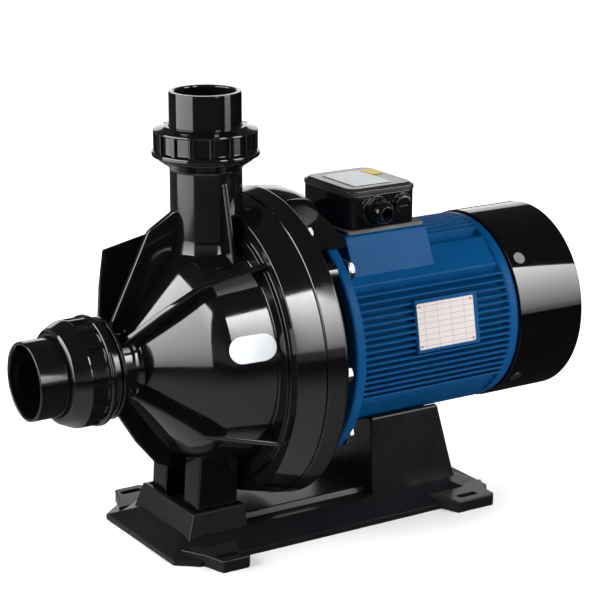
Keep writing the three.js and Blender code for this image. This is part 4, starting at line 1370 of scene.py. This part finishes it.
@dataclass
class Stand:
    """The moulded base and the saddle under the motor."""

    x: Point = (-88.0, 322.0)
    half_width: float = 95.0

    def outline(self, inset: float) -> list[Point]:
        """The base's outline with its clipped corners.

        Args:
            inset: How far it is drawn in.

        Returns:
            The (x, y) points of the outline.
        """
        front, rear, half = self.x[0] + inset, self.x[1] - inset, self.half_width - inset
        return [
            (front, -half + 18), (front + 22, -half), (rear - 22, -half), (rear, -half + 22),
            (rear, half - 22), (rear - 22, half), (front + 22, half), (front, half - 18),
        ]

    def lug(self, x: Point, reach: float, side: int) -> Form:
        """A lug with its slot.

        Args:
            x: Where it starts and ends along the base.
            reach: How far out it reaches from the middle.
            side: -1 for the near side, 1 for the far side.

        Returns:
            The shape.
        """
        inner, outer, mid = side * 70.0, side * reach, (x[0] + x[1]) / 2
        points = [
            (x[0] - 14, inner), (x[1] + 14, inner), (x[1], side * self.half_width), (x[1], outer - side * 4),
            (x[1] - 4, outer), (x[0] + 8, outer), (x[0], side * self.half_width),
        ]
        if side > 0:
            points.reverse()
        plate = Form.raised(points, 0.0, 13.0).softened(1.4, 3, 60.0, where=above(1.0))
        slot_y = side * (reach - 14.0)
        slot = Form.raised(rectangle((mid - 13, mid + 13), (slot_y - 4.5, slot_y + 4.5)), -1.0, 20.0, 4.4)
        return plate.carved(slot)

    def base(self) -> bpy.types.Object:
        """The base plate: skirt, sloped deck, spine, pedestal and lugs.

        Returns:
            The piece.
        """
        top = above(7.0)
        skirt = Form.raised(self.outline(0.0), 0.0, 6.2).softened(0.8, 2, 60.0, where=above(1.0))
        slope = Form.lofted(self.outline(0.6), 6.0, self.outline(31.0), 20.0)
        slope.softened(1.6, 3, 12.0, where=top)
        foot, crest = rectangle((10, 300), (-50, 50)), rectangle((18, 292), (-44, 44))
        spine = Form.lofted(foot, 12.0, crest, 26.0).softened(1.6, 3, 20.0, where=top)
        foot, crest = rectangle((-62, 12), (-62, 62)), rectangle((-52, 10), (-57, 57))
        pedestal = Form.lofted(foot, 12.0, crest, 42.0).softened(1.2, 3, 20.0, where=top)
        pedestal.carved(Form.block((-47.0, 8.0), (-53.0, 53.0), (36.0, 50.0), 1.0))
        lugs = [self.lug((-62.0, -20.0), 122.0, side) for side in (-1, 1)]
        lugs += [self.lug((243.0, 302.0), 116.0, side) for side in (-1, 1)]
        form = skirt.with_(slope, spine, pedestal, *lugs)
        return form.finished("base_moulding", BASE_PLASTIC, nodes=["base_plate"])

    def saddle(self) -> bpy.types.Object:
        """The saddle that the motor frame lies in.

        Returns:
            The piece.
        """
        foot, top = rectangle((172, 284), (-63, 63)), rectangle((172, 262), (-58, 58))
        body = Form.lofted(foot, 20.3, top, 109.0).softened(3.0, 4, 20.0, where=above(21.0))
        spine = Form.block((160.0, 300.0), (-50.5, 50.5), (0.0, 26.3))
        cradle = rod(107.2, 160.0, 300.0, 0.0, 160).along_shaft()
        body.carved(cradle, spine)
        return body.finished("motor_saddle_moulding", BASE_PLASTIC, nodes=["motor_saddle"])

    def screws(self) -> None:
        """The screws under the base."""
        for name, x, y in (
            ("foot_screw_1", -13.0, -35.0), ("foot_screw_2", -13.0, 35.0),
            ("saddle_screw_1", 244.0, -30.0), ("saddle_screw_2", 244.0, 30.0),
        ):
            head = Form.hexagon(7.5, 6.2, 11.6).with_(rod(3.9, 11.0, 55.8)).moved(x, y)
            head.finished(f"{name}_hex", ZINC_STEEL, nodes=[name])

    def build(self) -> None:
        """Makes the base, the saddle and their screws."""
        self.base()
        self.saddle()
        self.screws()


@dataclass
class InnerWorks:
    """The CAD nodes that keep their own shape, mostly inside, and their finishes."""

    finishes: dict[str, Finish] = field(
        default_factory=lambda: {
            "rear_end_shield": BLUE_PAINT, "casing_oring": RUBBER, "suction_union_oring": RUBBER,
            "discharge_union_oring": RUBBER, "diffuser": INNER_PLASTIC, "impeller": INNER_PLASTIC,
            "impeller_nut": BARE_STEEL, "impeller_key": BARE_STEEL, "seal_head": CARBON, "seal_seat": CERAMIC,
            "stator_core": LAMINATION, "stator_windings": COPPER, "rotor_core": LAMINATION,
            "motor_shaft": BARE_STEEL, "front_bearing": BARE_STEEL, "rear_bearing": BARE_STEEL,
            "cooling_fan": INNER_PLASTIC, "terminal_block": INNER_PLASTIC,
        }
    )

    def build(self) -> None:
        """Dresses each kept node."""
        for name, finish in self.finishes.items():
            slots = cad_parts[name].material_slots
            for slot in slots:
                slot.material = finish.material()
            LOG.info("%s: %s", name, finish.slot)


# ---- studio ----
@dataclass
class Softbox:
    """An area light that stands beside the pump.

    Attributes:
        name: The light's name.
        azimuth: Where it stands, from the near side towards the motor side, in degrees.
        distance: How far from the origin, in metres.
        size: Width and height, in metres.
        height: Height of its middle, in metres.
        radiance: Brightness of its surface.
        aim: Height of the point that it faces, in metres.
        low_end: Brightness of its lower edge as a share of its upper one.
        floor_only: Whether it lights nothing but the floor.
    """

    name: str
    azimuth: float
    distance: float
    size: Point
    height: float
    radiance: float
    aim: float
    low_end: float = 1.0
    floor_only: bool = False

    def build(self) -> None:
        """Makes the light and fades it towards its lower edge."""
        data = bpy.data.lights.new(self.name, "AREA")
        data.shape = "RECTANGLE"
        data.size, data.size_y = self.size
        data.energy = self.radiance * math.pi * self.size[0] * self.size[1]
        light = bpy.data.objects.new(self.name, data)
        turn = math.radians(self.azimuth)
        light.location = (self.distance * math.sin(turn), -self.distance * math.cos(turn), self.height)
        towards = Vector((0.0, 0.0, self.aim)) - light.location
        light.rotation_euler = towards.to_track_quat("-Z", "Y").to_euler()
        light.visible_camera = False
        bpy.context.scene.collection.objects.link(light)
        if self.floor_only:
            light.light_linking.receiver_collection = bpy.data.collections["floor_lighting"]
        if self.low_end < 1.0:
            self.fade(data)

    def fade(self, data: bpy.types.AreaLight) -> None:
        """Makes the lower edge dimmer than the upper one.

        Args:
            data: The area light.
        """
        data.use_nodes = True
        wiring = Wiring(data.node_tree)
        emission = wiring.add("Emission")
        output = wiring.add("OutputLight")
        across = wiring.add("NewGeometry").outputs["Parametric"]
        parts = wiring.add("SeparateXYZ")
        ramp = wiring.add("MapRange")
        ramp.inputs["To Min"].default_value = self.low_end
        wiring.join(across, parts.inputs["Vector"])
        wiring.join(parts.outputs["Y"], ramp.inputs["Value"])
        wiring.join(ramp.outputs["Result"], emission.inputs["Strength"])
        wiring.join(emission.outputs["Emission"], output.inputs["Surface"])


@dataclass
class Studio:
    """The pale floor, the lights, the surrounding light and the camera."""

    camera_place: Point = (-1.1444, -1.8344, 0.8537)
    azimuth: float = -32.2
    elevation: float = 15.84
    lens: float = 123.87
    softboxes: tuple[Softbox, ...] = (
        Softbox("front_strip", 6.0, 1.4, (0.36, 1.3), 0.98, 24.0, 0.98, 0.1),
        Softbox("right_strip", 41.5, 1.5, (0.6, 1.3), 0.72, 20.0, 0.72, 0.05),
        Softbox("left_box", -100.0, 1.4, (1.6, 1.3), 0.68, 14.0, 0.68, 0.2),
        Softbox("back_bank", 148.0, 4.6, (4.5, 1.6), 1.1, 1.5, 1.1),
        Softbox("far_ceiling", 148.0, 4.2, (8.0, 8.0), 5.0, 5.5, 0.0, floor_only=True),
    )

    def floor(self) -> None:
        """A wide pale floor."""
        form = Form()
        bmesh.ops.create_circle(form.mesh, cap_ends=True, segments=96, radius=14.0)
        floor = form.as_object("floor")
        made = bpy.data.materials.new("pale_floor")
        made.use_nodes = True
        wiring = Wiring(made.node_tree)
        shader = wiring.add("BsdfPrincipled")
        output = wiring.add("OutputMaterial")
        place = wiring.add("TexCoord").outputs["Object"]
        tint = wiring.blend(wiring.noise(place, 3.0), (0.6, 0.6, 0.605), (0.63, 0.63, 0.635))
        wiring.join(tint, shader.inputs["Base Color"])
        shader.inputs["Roughness"].default_value = 0.9
        shader.inputs["Specular IOR Level"].default_value = 0.0
        wiring.join(shader.outputs["BSDF"], output.inputs["Surface"])
        floor.data.materials.append(made)
        floor.visible_glossy = False
        bpy.data.collections.new("floor_lighting").objects.link(floor)

    def band(
        self, wiring: Wiring, along: bpy.types.NodeSocket, ends: Point, values: Point
    ) -> bpy.types.NodeSocket:
        """A smooth step between two values along a direction.

        Args:
            wiring: The material's node helper.
            along: The direction's component.
            ends: Where the step starts and ends.
            values: Values at both ends.

        Returns:
            The stepped value.
        """
        ramp = wiring.add("MapRange", interpolation_type="SMOOTHSTEP")
        ramp.inputs["From Min"].default_value, ramp.inputs["From Max"].default_value = ends
        ramp.inputs["To Min"].default_value, ramp.inputs["To Max"].default_value = values
        wiring.join(along, ramp.inputs["Value"])
        return ramp.outputs["Result"]

    def combined(self, wiring: Wiring, kind: str, *values: bpy.types.NodeSocket) -> bpy.types.NodeSocket:
        """Adds or multiplies two values.

        Args:
            wiring: The material's node helper.
            kind: ADD or MULTIPLY.
            values: The two values.

        Returns:
            The sum or the product.
        """
        node = wiring.add("Math", operation=kind)
        for value, target in zip(values, node.inputs):
            wiring.join(value, target)
        return node.outputs["Value"]

    def surroundings(self) -> None:
        """Dim studio air: a soft glow at the horizon, and light from the floor on the pipe side."""
        world = bpy.data.worlds.new("studio")
        world.use_nodes = True
        bpy.context.scene.world = world
        wiring = Wiring(world.node_tree)
        background = wiring.add("Background")
        output = wiring.add("OutputWorld")
        parts = wiring.add("SeparateXYZ")
        wiring.join(wiring.add("TexCoord").outputs["Generated"], parts.inputs["Vector"])
        up, across = parts.outputs["Z"], parts.outputs["X"]
        rise = self.band(wiring, up, (-0.06, 0.0), (0.0, 1.0))
        fall = self.band(wiring, up, (0.02, 0.4), (0.5, 0.08))
        below = self.band(wiring, up, (-0.12, -0.5), (0.0, 0.85))
        side = self.band(wiring, across, (0.1, 0.45), (1.0, 0.03))
        sky = self.combined(wiring, "MULTIPLY", rise, fall)
        ground = self.combined(wiring, "MULTIPLY", below, side)
        wiring.join(self.combined(wiring, "ADD", sky, ground), background.inputs["Strength"])
        wiring.join(background.outputs["Background"], output.inputs["Surface"])

    def camera(self) -> None:
        """The camera at the chosen viewing angle."""
        data = bpy.data.cameras.new("camera")
        data.lens = self.lens
        data.sensor_width = 36.0
        data.clip_end = 60.0
        made = bpy.data.objects.new("camera", data)
        made.location = self.camera_place
        made.rotation_euler = (math.radians(90.0 - self.elevation), 0.0, math.radians(self.azimuth))
        bpy.context.scene.collection.objects.link(made)
        bpy.context.scene.camera = made

    def build(self) -> None:
        """Sets up the whole studio."""
        self.camera()
        self.floor()
        self.surroundings()
        for softbox in self.softboxes:
            softbox.build()
        bpy.context.scene.view_settings.view_transform = "Standard"


def main() -> None:
    """Builds the studio and every sub-assembly."""
    logging.basicConfig(level=logging.INFO, format="%(name)s %(message)s")
    Studio().build()
    assemblies = (
        WetEnd(),
        SUCTION,
        DISCHARGE,
        Motor(),
        TerminalBox(),
        Stand(),
        InnerWorks(),
    )
    for assembly in assemblies:
        assembly.build()
        LOG.info("%s is ready", type(assembly).__name__)


if __name__ == "__main__":
    main()
